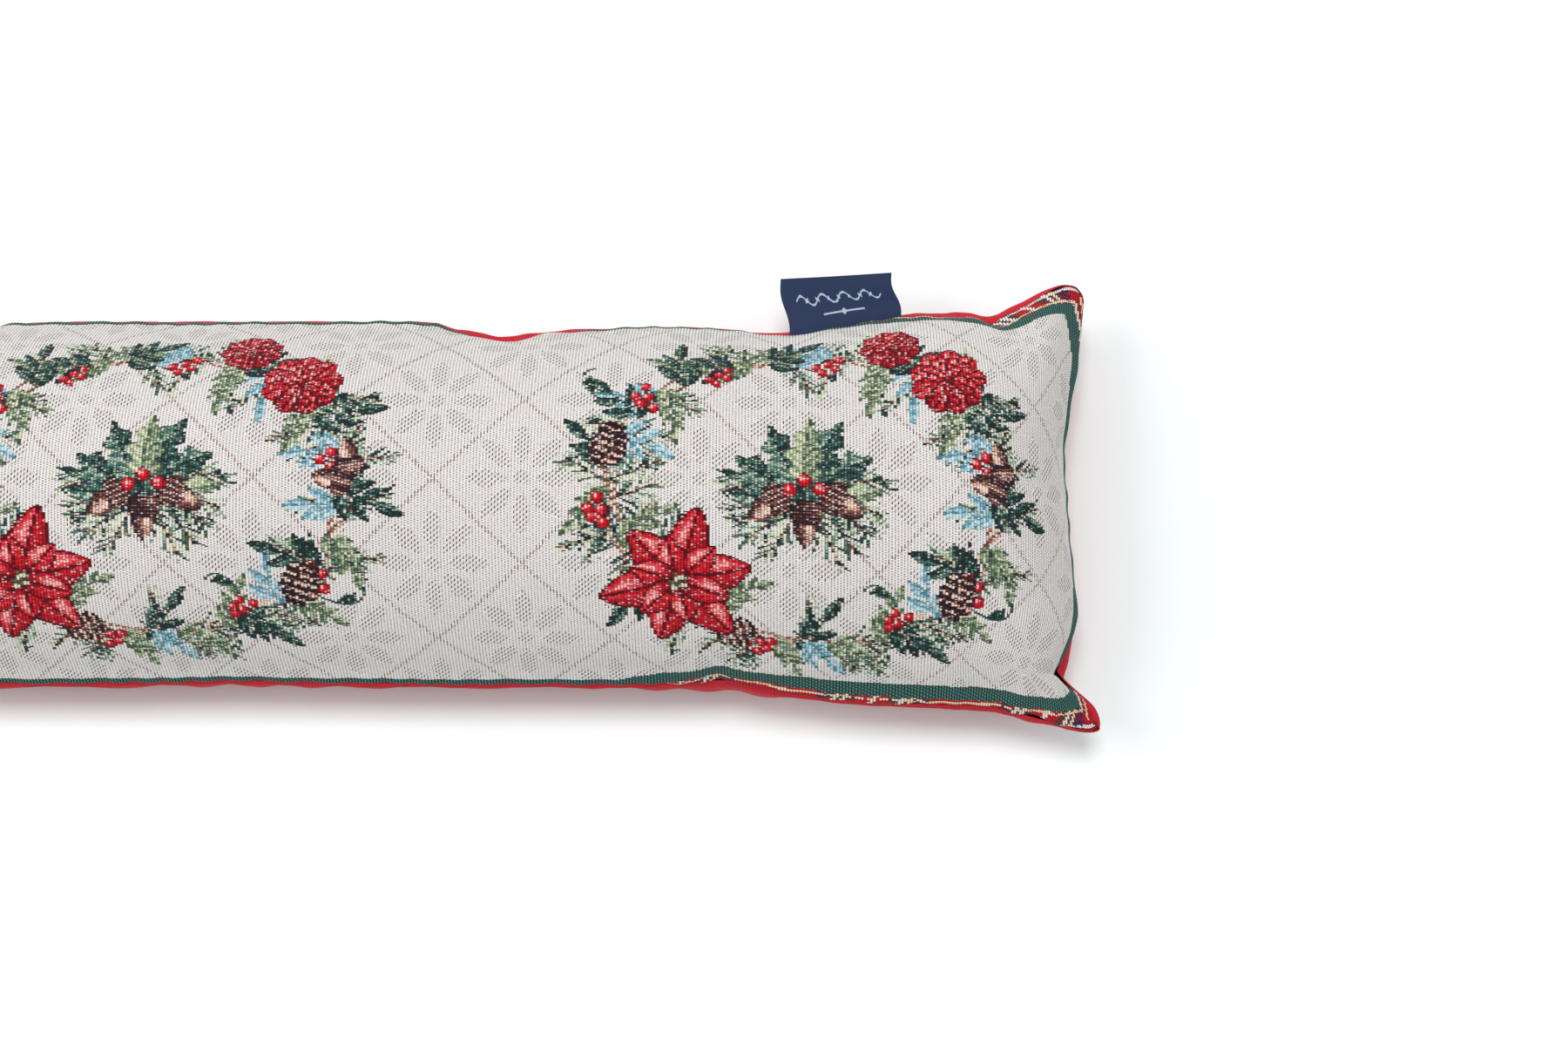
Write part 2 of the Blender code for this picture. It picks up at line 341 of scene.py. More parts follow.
def place_along(u, v, share):
    """X of the panels: as cut along the barrel, then out to the end seam."""
    reach = np.where(u > 0, end_reach(+1, v), end_reach(-1, v))
    past = BARREL + (reach - BARREL) * share
    return np.sign(u) * np.where(np.abs(u) < BARREL, np.abs(u), past)


def edge_out(rim, from_seam, reach_in, roll):
    """How far out the cloth near a seam moves: to its rim, less the groove of the seam."""
    reach = np.where(rim > 0, RIM_OUT_REACH, reach_in)
    groove = TUCK_DEPTH * (1 - ramp(from_seam, 0, TUCK_WIDTH)) ** 2
    rolled = roll * np.minimum(rim, 0) * bell(from_seam - BACK_DRAWN_REACH, BACK_DRAWN_REACH)
    return rim * smooth(1 - ramp(from_seam, 0, reach)) - groove - rolled


def in_place(u, v, share_along, share_across, reach_in, roll):
    """X and Y of a panel, with its corners rounded and its edges moved to their rims.

    A rim drawn in is felt over reach_in, and the cloth beside it may roll out past it.
    """
    x = place_along(u, v, share_along)
    y = place_across(u, v, share_across)
    x, y = round_corner(x, y, u, v)
    from_end, from_side = inward(u, v)
    side_rim = np.where(v > 0, value_at(FAR_RIM, u / MM), value_at(NEAR_RIM, u / MM)) * MM
    end_rim = np.where(u > 0, value_at(RIGHT_RIM, v / MM), 0) * MM
    x = x + np.sign(u) * edge_out(end_rim, from_end, reach_in, roll)
    y = y + np.sign(v) * edge_out(side_rim, from_side, reach_in, roll)
    return x, y


# Front: the tapestry over the filling
def front_points(u, v):
    """The front surface over places on the flat panel."""
    across = np.abs(v) / HALF_WIDTH
    along = ramp(np.abs(u), BARREL, HALF_LENGTH)
    height_across = arc_height(across, SIDE_TURN)
    height_along = arc_height(along, END_TURN)
    share_along = mix(along, arc_reach(along, END_TURN), height_across)
    share_across = np.sign(v) * mix(across, arc_reach(across, SIDE_TURN), height_along)
    x, y = in_place(u, v, share_along, share_across, FRONT_DRAWN_REACH, 0)
    lump = 1 + LUMP_HEIGHT / RISE * np.sin(2 * math.pi * u / LUMP_LENGTH + LUMP_PHASE)
    wider = (swell_at(+1, u) + swell_at(-1, u)) / MM
    rise = RISE * lump * (1 - SWELL_LOSS / 2 * wider)
    full = fullness(height_across, height_along, u, v)
    return np.stack([x, y, seam_height(u, v) + rise * full], axis=-1)


# Back: from the seam round to the floor
def rounded(place, start, half, run, radius):
    """The back's share of the way out from start to the seam, and its depth below the seam."""
    bend = math.asin((SEAM_HEIGHT - radius) / radius)
    length = radius * (bend + math.pi / 2)
    angle = bend - np.minimum(half - place, length) / radius
    bulge = (run + radius * (np.cos(angle) - math.cos(bend))) / run
    share = np.where(half - place < length, bulge, bulge * ramp(place, start, half - length))
    height = radius * (1 + np.sin(angle))
    return share, 1 - np.where(height < PRESSED_FLAT, 0, height) / SEAM_HEIGHT


def back_points(u, v):
    """The outer surface of the back over places on the flat panel."""
    run = END_REACH - BARREL
    out_along, depth_along = rounded(np.abs(u), BARREL, HALF_LENGTH, run, END_ROUND)
    out_across, depth_across = rounded(np.abs(v), 0, HALF_WIDTH, SEAM_REACH, SIDE_ROUND)
    share_along = mix(ramp(np.abs(u), BARREL, HALF_LENGTH), out_along, depth_across)
    share_across = np.sign(v) * mix(np.abs(v) / HALF_WIDTH, out_across, depth_along)
    corner = corner_distance(u, v)
    roll = ROLL * (bell(corner, EAR_SIZE) - EAR_ROLL * bell(corner, CORNER_SIZE))
    x, y = in_place(u, v, share_along, share_across, BACK_DRAWN_REACH, roll)
    full = fullness(depth_across, depth_along, u, v)
    points = np.stack([x, y, seam_height(u, v) * (1 - full)], axis=-1)
    slack = back_folds(u, v) * 4 * full * (1 - full)
    return points + normals(points) * slack[..., None]


# Folds of the back: upright waves between the seam and the floor, deeper under each pull.
# The waves drift to and fro along an edge, and start at another place on each
BACK_WAVE = 1.5 * MM
BACK_WAVE_LENGTH = 33 * MM
BACK_WAVE_DRIFT = 180 * MM
BACK_WAVE_SWING = 2.5
BACK_CREASE = 0.15
BACK_PUCKER = 0.5 * MM
BACK_PUCKER_LENGTH = 12 * MM
PUCKER_REACH = 9 * MM
SIDE_WAVE_START = 40 * MM
END_WAVE_START = 25 * MM
CORNER_BLEND = 15 * MM


def slack_at(along, from_seam, pull):
    """How far the back is drawn in at places along an edge and inward from it."""
    drift = BACK_WAVE_SWING * np.sin(2 * math.pi * along / BACK_WAVE_DRIFT)
    wave = 0.5 + 0.5 * np.sin(2 * math.pi * along / BACK_WAVE_LENGTH + drift)
    pucker = 0.5 + 0.5 * np.sin(2 * math.pi * along / BACK_PUCKER_LENGTH + 2 * drift)
    near_seam = bell(from_seam, PUCKER_REACH)
    return BACK_WAVE * wave + BACK_PUCKER * pucker * near_seam + BACK_CREASE * pull


def back_folds(u, v):
    """How far the back is drawn in between the seam and the floor."""
    from_end, from_side = inward(u, v)
    end_pull = np.where(u > 0, pull_at("right", v), pull_at("left", v))
    end = slack_at(v + END_WAVE_START * np.sign(u), from_end, end_pull)
    side = slack_at(u + SIDE_WAVE_START * np.sign(v), from_side, side_pull(u, v))
    return mix(end, side, smooth(ramp(from_end - from_side, -CORNER_BLEND, CORNER_BLEND)))


# Folds of the front: one row for each soft trough, in millimetres: where it starts at a seam
# along and across the flat panel, where it runs out on the cloth, its width and its depth
FOLDS = (
    (233, -100, 228, -78, 6, 1.5), (226, -96, 190, -84, 5, 0.7), (243, -96, 282, -86, 5, 0.7),
    (140, 100, 146, 74, 8, 1.6), (132, 98, 92, 88, 6, 0.8), (152, 98, 196, 88, 6, 0.8),
    (352, 100, 372, 72, 7, 1.4), (338, 98, 306, 88, 6, 0.7), (410, -72, 376, -58, 7, 1.5),
    (404, -60, 384, -28, 6, 0.8), (372, -100, 380, -78, 6, 0.8), (-88, 100, -96, 76, 7, 1.2),
    (-252, 100, -246, 72, 8, 1.5), (-118, -100, -110, -76, 7, 1.3),
    (-306, -100, -312, -74, 8, 1.2), (-410, 48, -378, 40, 8, 1.2),
    (-366, 100, -376, 76, 7, 1.2), (-364, -100, -378, -78, 7, 1.2),
)
TROUGH_FADE = 0.75
RIDGE_HEIGHT = 0.6
RIDGE_PLACE = 1.7

# Puckers along the seams and lumps of the filling: their heights, the lengths of their waves
# and the longer waves that they drift in
PUCKER = 0.3 * MM
SIDE_PUCKER = (2.4 * MM, 17 * MM)
END_PUCKER = (2.7 * MM, 15 * MM)
PUCKER_SWING = 2
LUMPS = 0.35 * MM
LUMP_ALONG = (13 * MM, 31 * MM)
LUMP_ACROSS = (15 * MM, 19 * MM)
LUMP_SWING = 1.7


def trough(u, v, fold):
    """A soft trough along a line, between two low ridges."""
    start_u, start_v, end_u, end_v, width, depth = np.multiply(fold, MM)
    run_u = end_u - start_u
    run_v = end_v - start_v
    from_u = u - start_u
    from_v = v - start_v
    share = np.clip((from_u * run_u + from_v * run_v) / (run_u**2 + run_v**2), 0, 1)
    aside = np.hypot(from_u - share * run_u, from_v - share * run_v)
    shape = bell(aside, width) - RIDGE_HEIGHT * bell(aside - RIDGE_PLACE * width, width)
    return -depth * shape * (1 - TROUGH_FADE * share)


def pucker(along, from_seam, lengths):
    """Height of the small gathers beside a seam."""
    wave = np.sin(along / lengths[0] + PUCKER_SWING * np.sin(along / lengths[1]))
    return PUCKER * bell(from_seam, PUCKER_REACH) * wave


def folds(u, v):
    """Height of the troughs, the puckers at the seams and the lumps of the filling."""
    from_end, from_side = inward(u, v)
    height = sum(trough(u, v, fold) for fold in FOLDS)
    height += pucker(u, from_side, SIDE_PUCKER) + pucker(v, from_end, END_PUCKER)
    long_wave = np.sin(u / LUMP_ALONG[0] + LUMP_SWING * np.sin(v / LUMP_ACROSS[1]))
    return height + LUMPS * long_wave * np.cos(v / LUMP_ACROSS[0] + u / LUMP_ALONG[1])


# Yarns: each is named by the 8-bit screen colour that it shows
def yarn(red, green, blue):
    """The linear colour of a yarn that shows as this screen colour under the light."""
    shown = np.array([red, green, blue]) / 255
    linear = np.where(shown <= 0.04045, shown / 12.92, ((shown + 0.055) / 1.055) ** 2.4)
    return linear / LIGHT_LEVEL


def ramp_of(*colours):
    """A list of yarns from dark to light."""
    return np.array([yarn(*colour) for colour in colours])


CREAM = yarn(231, 225, 222)
REDS = ramp_of((88, 6, 18), (160, 10, 28), (212, 22, 40), (226, 84, 92), (244, 188, 182))
FIRS = ramp_of((28, 44, 44), (46, 80, 76), (88, 124, 112), (154, 176, 156), (216, 218, 196))
MOSSES = ramp_of((66, 84, 66), (112, 130, 102), (158, 170, 134), (200, 206, 168), (228, 226, 206))
BLUES = ramp_of((84, 134, 146), (142, 184, 198), (174, 206, 218), (200, 220, 230), (222, 232, 236))
BROWNS = ramp_of((34, 24, 30), (70, 38, 42), (134, 86, 78), (226, 182, 162), (244, 218, 202))
TWIGS = ramp_of((104, 66, 60), (168, 120, 100), (214, 168, 142), (236, 212, 190))
DOTS = ramp_of((84, 62, 60), (112, 66, 66), (60, 74, 78), (112, 90, 82))
GREEN = yarn(52, 94, 88)
GREEN_LIGHT = yarn(96, 138, 130)
GREEN_DARK = yarn(16, 36, 36)
TARTAN = {
    "red": yarn(186, 22, 38),
    "navy": yarn(30, 40, 78),
    "green": yarn(34, 62, 58),
    "white": yarn(238, 234, 228),
    "yellow": yarn(246, 218, 182),
}
BACK_RED = yarn(200, 20, 40)
NAVY = yarn(9, 35, 76)
SILVER = yarn(176, 184, 200)

# Order in which a share picks one of two yarns, so that tones come from single stitches
DITHER_SQUARE = np.array([[0, 8, 2, 10], [12, 4, 14, 6], [3, 11, 1, 9], [15, 7, 13, 5]])
DITHER_NOISE = 0.12
NOISE_SEED = 3
MOTIF_SEED = 11

# Widths of single lines of stitches, in millimetres
STEM_WIDTH = 0.9
NEEDLE_WIDTH = 0.85


class Chart:
    """What shows at each stitch: a yarn on the rib, and in the groove beside it a yarn in places
    and painted shade in others.
    """

    def __init__(self, ribs):
        rib, pick = np.meshgrid(np.arange(ribs), np.arange(PICKS), indexing="ij")
        random = np.random.default_rng(NOISE_SEED)
        self.rib = rib
        self.pick = pick
        self.x = (rib + 0.5 - ribs / 2) * RIB / MM
        self.y = (pick + 0.5 - PICKS / 2) * PICK / MM
        self.thread = np.zeros((ribs, PICKS, 3))
        self.groove = np.zeros((ribs, PICKS, 4))
        self.filled = np.zeros((ribs, PICKS), bool)
        self.noise = random.uniform(-1, 1, (ribs, PICKS))
        self.dither = (DITHER_SQUARE[rib % 4, pick % 4] + 0.5) / 16 + DITHER_NOISE * self.noise

    def around(self, x, y, reach):
        """The part of the chart within reach of a place. It shares its stitches."""
        ribs = slice(*np.searchsorted(self.x[:, 0], (x - reach, x + reach)))
        picks = slice(*np.searchsorted(self.y[0], (y - reach, y + reach)))
        part = copy.copy(self)
        for name, values in vars(self).items():
            setattr(part, name, values[ribs, picks])
        return part

    def turned(self, x, y, degrees, reach):
        """The part around a place, with places along and across a shape that starts there."""
        part = self.around(x, y, reach)
        angle = math.radians(degrees)
        from_x = part.x - x
        from_y = part.y - y
        along = from_x * math.cos(angle) + from_y * math.sin(angle)
        across = from_y * math.cos(angle) - from_x * math.sin(angle)
        return part, along, across

    def stitch(self, mask, yarns, tone):
        """Fills a part of the chart with yarns, first at tone 0 to last at tone 1, and painted
        shade in its grooves.
        """
        tone = np.clip(tone, 0, 1) * np.ones(mask.shape)
        index = np.floor(tone * (len(yarns) - 1) + self.dither)
        index = np.clip(index, 0, len(yarns) - 1).astype(int)
        # Painted shade in the groove: the next darker yarn, dimmed, weaker beside pale yarns and
        # on every second stitch
        shade = yarns[np.maximum(index - 1, 0)] * GROOVE_SHADE
        even = (self.rib + self.pick) % 2 == 0
        strength = (1 - GROOVE_FADE * tone) * np.where(even, 1, GROOVE_SECOND)
        self.thread[mask] = yarns[index][mask]
        self.groove[mask, :3] = shade[mask]
        self.groove[mask, 3] = strength[mask]
        self.filled |= mask

    def line(self, x, y, degrees, length, width, yarns, tone):
        """A straight line of stitches."""
        part, along, across = self.turned(x, y, degrees, length)
        mask = (along > 0) & (along < length) & (np.abs(across) < width / 2)
        part.stitch(mask, yarns, tone + 0.2 * part.noise)

    def disc(self, x, y, radius, yarns, light):
        """A round berry with a dark rim and a light at its upper left."""
        part = self.around(x, y, radius)
        distance = np.hypot(part.x - x, part.y - y) / radius
        from_light = np.hypot(part.x - x + radius * 0.35, part.y - y - radius * 0.35)
        rim = 0.45 * distance**3
        shine = 0.7 * bell(from_light, radius * 0.4)
        part.stitch(distance < 1, yarns, light - rim + shine)


def moved(x, y, degrees, length):
    """The place a length away from a place."""
    angle = math.radians(degrees)
    return x + length * math.cos(angle), y + length * math.sin(angle)


# Shapes of the motif, in millimetres
def blade(chart, x, y, degrees, length, width, fat, taper):
    """The part around a leaf or petal, with places along and across it and its half width.

    A larger fat moves the widest place outward, and a larger taper thins both ends.
    """
    part, along, across = chart.turned(x, y, degrees, length)
    share = np.clip(along / length, 0, 1)
    half = width / 2 * np.sin(math.pi * share**fat) ** taper
    return part, along, across, share, half


def leaf(chart, x, y, degrees, length, width, yarns, light, bend=0.0, lobes=0):
    """A leaf with a midrib, side veins, one lighter half and an optional lobed edge."""
    part, along, across, share, half = blade(
        chart, x, y, degrees, length, width, fat=0.8, taper=0.8
    )
    across = across - bend * length * share * (1 - share) * 4
    if lobes:
        half = half * (1 + 0.3 * np.cos(2 * math.pi * lobes * share))
    aside = np.abs(across)
    mask = (along > 0) & (along < length) & (aside < half + 0.3)
    halves = 0.16 * np.sign(across)
    veins = 0.18 * np.cos(1.5 * along - 1.3 * aside)
    midrib = 0.5 * (aside < 0.5)
    rim = 0.25 * (aside > half - 0.7)
    part.stitch(mask, yarns, light + halves + veins - midrib - rim + 0.24 * part.noise)


def petal(chart, x, y, degrees, length, width, light, fat, side):
    """A petal with a dark edge and base, a dark midrib and a bright patch on one side."""
    part, along, across, share, half = blade(
        chart, x, y, degrees, length, width, fat, taper=0.75
    )
    aside = np.abs(across)
    mask = (along > 0) & (along < length) & (aside < half + 0.2)
    reach = across / np.maximum(half, 0.5)
    patch = 0.5 * bell(share - 0.62, 0.22) * bell(reach - 0.45 * side, 0.4)
    base = 0.4 * bell(share, 0.3)
    veins = 0.14 * np.cos(9 * reach) * share
    midrib = 0.5 * (aside < 0.55)
    rim = 0.55 * (aside > half - 0.8)
    tone = light + patch - base - veins + 0.16 * part.noise - midrib - rim
    part.stitch(mask, REDS, tone)


# Eye of the large flower: seeds on a spiral, with the turn between them in degrees, and
# in millimetres how the spiral widens and the radius of a seed
EYE_SEEDS = 9
EYE_TURN = 137.5
EYE_STEP = 1.26
EYE_RADIUS = 1.1


def star_flower(chart, x, y, size, turn):
    """A large flower of two rings of pointed petals, with a seeded eye."""
    for ring, (length, width) in enumerate(((1.0, 0.56), (0.66, 0.4))):
        light = 0.42 + 0.08 * ring
        for k in range(6):
            degrees = turn + (k + 0.5 * ring) * 60
            reach = size * length * (1 + 0.09 * math.sin(2.6 * k + ring))
            side = 1 if math.cos(math.radians(degrees - 30)) > 0 else -1
            petal(chart, x, y, degrees, reach, size * width, light, fat=0.85, side=side)
    for k in range(EYE_SEEDS):
        seed = moved(x, y, EYE_TURN * k, EYE_STEP * math.sqrt(k))
        chart.disc(*seed, EYE_RADIUS, MOSSES, 0.9 * (k % 2) + 0.1)


def dahlia(chart, x, y, size, turn):
    """A round flower of four rings of short petals round a dark eye."""
    rings = ((9, 1.0, 0.66), (8, 0.76, 0.54), (6, 0.54, 0.48), (5, 0.32, 0.36))
    for ring, (count, reach, width) in enumerate(rings):
        for k in range(count):
            degrees = turn + 17 * ring + k * 360 / count
            light = 0.42 + 0.08 * (ring % 2) + 0.12 * math.cos(math.radians(degrees - 120))
            petal(chart, x, y, degrees, size * reach, size * width, light, fat=1.9, side=1)
    chart.disc(x, y, size * 0.14, REDS, 0.1)


def fir(chart, x, y, degrees, length, needle, random):
    """A fir sprig: a twig with loose needles on both sides, shorter towards its tip."""
    bend = random.uniform(-25, 25)
    steps = round(length / NEEDLE_STEP)
    for k in range(steps + 1):
        share = k / steps
        heading = degrees + bend * share
        for side in (-1, 1):
            lean = side * (46 - 24 * share) + random.uniform(-12, 12)
            reach = needle * (1 - 0.4 * share) * random.uniform(0.7, 1.2)
            tone = random.choice((0.05, 0.15, 0.35, 0.7, 0.95, 1.0))
            yarns = MOSSES if random.uniform() < 0.25 else FIRS
            chart.line(x, y, heading + lean, reach, NEEDLE_WIDTH, yarns, tone)
        chart.line(x, y, heading, NEEDLE_STEP + 0.4, STEM_WIDTH, BROWNS, 0.1 + 0.5 * (k % 2))
        x, y = moved(x, y, heading, NEEDLE_STEP)


# Sprays of leaves: the stem's length as a share of the size of the growth, the length of a
# leaf in millimetres, its width as a share of that, its yarns and its tone
Spray = namedtuple("Spray", "stem leaf slim yarns light")
SPRAYS = {
    "moss": Spray(1.0, 8, 0.42, MOSSES, 0.65),
    "blue": Spray(0.6, 12, 0.36, BLUES, 0.6),
    "dark": Spray(0.7, 13, 0.36, FIRS, 0.34),
}


def spray(chart, x, y, degrees, size, kind, random):
    """A stem with leaves on both sides and one at its tip."""
    row = SPRAYS[kind]
    length = row.stem * size
    bend = random.uniform(-35, 35)
    steps = max(2, round(length / (row.leaf * 0.5)))
    step = length / steps
    for k in range(steps):
        heading = degrees + bend * k / steps
        grown = row.leaf * (1 - 0.25 * k / steps)
        for side in (-1, 1):
            turn = heading + side * random.uniform(34, 56)
            root = moved(x, y, heading, 0.25 * side * step)
            tone = row.light + random.uniform(-0.15, 0.15)
            leaf(chart, *root, turn, grown, row.slim * grown, row.yarns, tone, 0.06 * side)
        chart.line(x, y, heading, step + 0.6, STEM_WIDTH, row.yarns, 0.1)
        x, y = moved(x, y, heading, step)
    leaf(chart, x, y, heading, row.leaf, row.slim * row.leaf, row.yarns, row.light)


# The size of the berries that the lengths of their stems are for, in millimetres
BERRY = 2.4


def berries(chart, x, y, degrees, radius, random):
    """A bunch of berries on short dark stems."""
    for lean, reach in ((-55, 6.5), (-18, 8.5), (22, 7.5), (60, 6.0), (0, 3.5)):
        heading = degrees + lean + random.uniform(-8, 8)
        chart.line(x, y, heading, reach, STEM_WIDTH, BROWNS, 0.15)
        chart.disc(*moved(x, y, heading, reach * radius / BERRY), radius, REDS, 0.5)


def acorn(chart, x, y, degrees, size):
    """An acorn: a nut with a bright side, in a dark cup freckled like its scales."""
    part, along, across = chart.turned(x, y, degrees, 1.3 * size)
    nut = (along / size) ** 2 + (across / (0.56 * size)) ** 2
    point = (np.abs(across) < 0.7) & (along > 0) & (along < 1.14 * size)
    shine = 0.5 * bell(across - 0.2 * size, 0.2 * size)
    part.stitch((nut < 1) | point, BROWNS, 0.52 + shine - 0.4 * nut + 0.2 * part.noise)
    cup = ((along + 0.45 * size) / (0.6 * size)) ** 2 + (across / (0.78 * size)) ** 2
    freckle = 0.5 * np.cos(2.3 * (along + across)) * np.cos(2.3 * (along - across))
    part.stitch((cup < 1) & (along < 0.05 * size), BROWNS, 0.4 + freckle - 0.4 * cup**3)


def seed_head(chart, x, y, degrees, length, width):
    """An egg-shaped head of overlapping scales: dark gaps, brown scales and pale tips."""
    part, along, across = chart.turned(x, y, degrees, length + width)
    inside = ((along / length - 0.5) / 0.5) ** 2 + (across / (width / 2)) ** 2
    tier = np.round(along / SCALE_STEP)
    rise = along / SCALE_STEP - tier
    place = across / SCALE_STEP + 0.5 * (tier % 2)
    aside = place - np.round(place)
    tip = 1.05 * bell(rise + 1.6 * aside**2 - 0.26, 0.17)
    gap = 0.5 * (np.abs(aside) > 0.38)
    shade = 0.18 * np.sin(7.1 * tier + 5.3 * np.round(place)) + 0.34 * part.noise
    tone = 0.05 + tip - gap + shade - 0.1 * inside
    part.stitch(inside + 0.15 * part.noise < 1, BROWNS, tone)


def tendril(chart, x, y, degrees, length, curl):
    """A thin shoot that curls up at its end, with two small leaves."""
    for k in range(length):
        chart.line(x, y, degrees, 1.5, STEM_WIDTH, FIRS, 0.25)
        if k in (length // 3, length // 2):
            leaf(chart, x, y, degrees + math.copysign(50, curl), 6, 2.6, FIRS, 0.4)
        x, y = moved(x, y, degrees, 1)
        degrees += curl * (0.3 + 2.2 * (k / length) ** 2)


# Loose sprigs of fir under the garland: their turn apart in degrees, and in millimetres
# their length, the length of their needles and that of the other sprigs' needles
LOOSE_TURN = 8
LOOSE_LENGTH = 17
LOOSE_NEEDLE = 10
FIR_NEEDLE = 8

# Twigs: how far they wind in and out, and half their width, in millimetres
TWIG_SWING = 2.6
TWIG_HALF = 0.7

# Garland: an oval of twigs, in millimetres, and one row for each growth on it: its turn
# round the oval and its lean from straight outward, in degrees, and its size in millimetres,
# which is its length or the radius of its berries
OVAL_LONG = 80
OVAL_WIDE = 63
OVAL_RAISED = -4
GREENS = {
    "fir": (
        (6, 60, 22), (12, -20, 20), (20, 30, 22), (26, 170, 20), (34, -30, 22), (45, 0, 20),
        (50, 160, 22), (58, 30, 20), (72, 15, 18), (78, 150, 20), (155, 60, 20), (165, 25, 21),
        (177, 200, 20), (189, 60, 20), (196, 0, 22), (205, 40, 23), (213, 190, 26),
        (225, 30, 22), (234, 0, 20), (245, 60, 20), (252, 20, 18), (284, 80, 20), (306, 30, 20),
        (323, 60, 21), (335, 20, 21), (349, 40, 21),
    ),
    "blue": (
        (15, 165, 20), (40, 25, 20), (54, 195, 20), (84, 60, 16), (142, 40, 20), (160, -165, 20),
        (272, 30, 16), (311, 165, 20), (353, 180, 20),
    ),
    "dark": (
        (30, -30, 22), (64, -45, 20), (100, -60, 18), (114, 70, 22), (130, -25, 22),
        (150, -10, 22), (172, -45, 22), (217, 10, 22), (268, 130, 22), (299, 40, 20),
        (329, 190, 22), (358, -20, 20),
    ),
    "moss": (
        (36, 200, 17), (66, 170, 20), (92, 70, 20), (106, 110, 16), (122, 35, 18),
        (136, 160, 18), (183, 20, 18), (199, 190, 20), (239, 165, 26), (261, 40, 16),
        (278, 60, 18), (291, 130, 18), (317, 0, 20), (341, -30, 18),
    ),
}
BERRIES = (
    (8, 175, 2.5), (84, 200, 2.3), (140, 60, 2.4), (188, 0, 2.6), (256, 20, 2.4), (322, 40, 2.7),
    (300, 190, 2.2), (118, 190, 2.1),
)


def twigs(chart):
    """Three thin twigs that wind round the oval."""
    rise = (chart.y - OVAL_RAISED) / OVAL_WIDE
    angle = np.arctan2(rise, chart.x / OVAL_LONG)
    radius = np.hypot(chart.x / OVAL_LONG, rise)
    middle = 0.5 * (OVAL_LONG + OVAL_WIDE)
    for strand, turns in enumerate((9, 9, 14)):
        wave = 1 + TWIG_SWING / middle * np.sin(turns * angle + 2.1 * strand)
        distance = np.abs(radius - wave) * middle
        tone = 0.5 + 0.5 * np.sin(3 * chart.x + 2 * chart.y + strand)
        chart.stitch(distance < TWIG_HALF, TWIGS, tone)


def on_oval(turn):
    """A place on the oval, and the direction straight outward from it in degrees."""
    angle = math.radians(turn)
    x = OVAL_LONG * math.cos(angle)
    y = OVAL_WIDE * math.sin(angle) + OVAL_RAISED
    outward = math.atan2(math.sin(angle) / OVAL_WIDE, math.cos(angle) / OVAL_LONG)
    return x, y, math.degrees(outward)


def garland(chart, random):
    """The greens in turn round the oval and the berries, over loose needles."""
    for turn in range(0, 360, LOOSE_TURN):
        x, y, _ = on_oval(turn + random.uniform(-4, 4))
        heading = turn + random.choice((70, 20, -40, 190))
        fir(chart, x, y, heading, LOOSE_LENGTH, LOOSE_NEEDLE, random)
    twigs(chart)
    growths = [(*row, kind) for kind, rows in GREENS.items() for row in rows]
    for turn, lean, size, kind in sorted(growths):
        x, y, outward = on_oval(turn)
        if kind == "fir":
            fir(chart, x, y, outward + lean, size, FIR_NEEDLE, random)
        else:
            spray(chart, x, y, outward + lean, size, kind, random)
    for turn, lean, size in BERRIES:
        x, y, outward = on_oval(turn)
        berries(chart, x, y, outward + lean, size, random)


def bunch(chart, random):
    """The small sprig of oak in the middle of the oval, over two fans of needles."""
    for lean in (170, 184, 198, 212, 228, 246, 294, 312, 328, 342, 356, 10):
        fir(chart, *moved(0, -2, lean, 8), lean, 22, 11, random)
    for lean, length in ((26, 31), (154, 32), (62, 33), (118, 32)):
        leaf(chart, 0, -4, lean, length, 14, FIRS, 0.4, 0.05, 4)
    leaf(chart, 1, -4, 88, 31, 13, MOSSES, 0.55, 0.06, 4)
    leaf(chart, 5, -4, 2, 26, 10, MOSSES, 0.6, -0.06, 3)
    leaf(chart, -5, -4, 182, 26, 10, FIRS, 0.55, 0.06, 3)
    leaf(chart, 0, 2, 270, 15, 12, FIRS, 0.25)
    for x, y, lean in ((-15, -9, 214), (15, -8, 328), (0, -16, 268)):
        acorn(chart, x, y, lean, 9)
    for x, y in ((-6.5, -3), (6, -2.5), (-0.5, 1)):
        chart.disc(x, y, 3.0, REDS, 0.5)


def motif():
    """One repeat of the woven picture: an oval garland round a small sprig."""
    chart = Chart(MOTIF_RIBS)
    random = np.random.default_rng(MOTIF_SEED)
    garland(chart, random)
    seed_head(chart, -84, 4, 70, 21, 16)
    seed_head(chart, 66, -34, 250, 21, 16)
    seed_head(chart, -20, -62, 195, 18, 15)
    acorn(chart, 82, 8, 100, 8.5)
    acorn(chart, 76, -1, 165, 8)
    dahlia(chart, 36, 64, 13, 25)
    dahlia(chart, 60, 44, 17, 5)
    star_flower(chart, -52, -42, 31, 14)
    tendril(chart, -82, 34, 150, 26, -6)
    tendril(chart, 70, -50, 330, 24, 7)
    tendril(chart, 38, -50, 110, 22, 8)
    bunch(chart, random)
    return chart


# Rosette: an eye, and leaves that are widest at their middle. The lattice's lines have dots
# in the groove and fewer on the thread. All in millimetres
ROSETTE_EYE = 3
LEAF_MIDDLE = 14.5
LEAF_HALF_LENGTH = 8.5
LEAF_HALF_WIDTH = 3.6
LATTICE_GROOVE = 0.8
LATTICE_THREAD = 0.4

# How strong a groove is at a line of the lattice, in the band and in the tartan, how much
# darker every second slant of a rosette is, how much a line shows on the thread, and how
# uneven the dots and the cream are
LINE_GROOVE = 0.9
BAND_GROOVE = 0.95
TARTAN_GROOVE = 0.7
SLANT_SHADE = 0.16
LINE_MIX = 0.5
DOT_NOISE = 0.12
CREAM_NOISE = 0.03


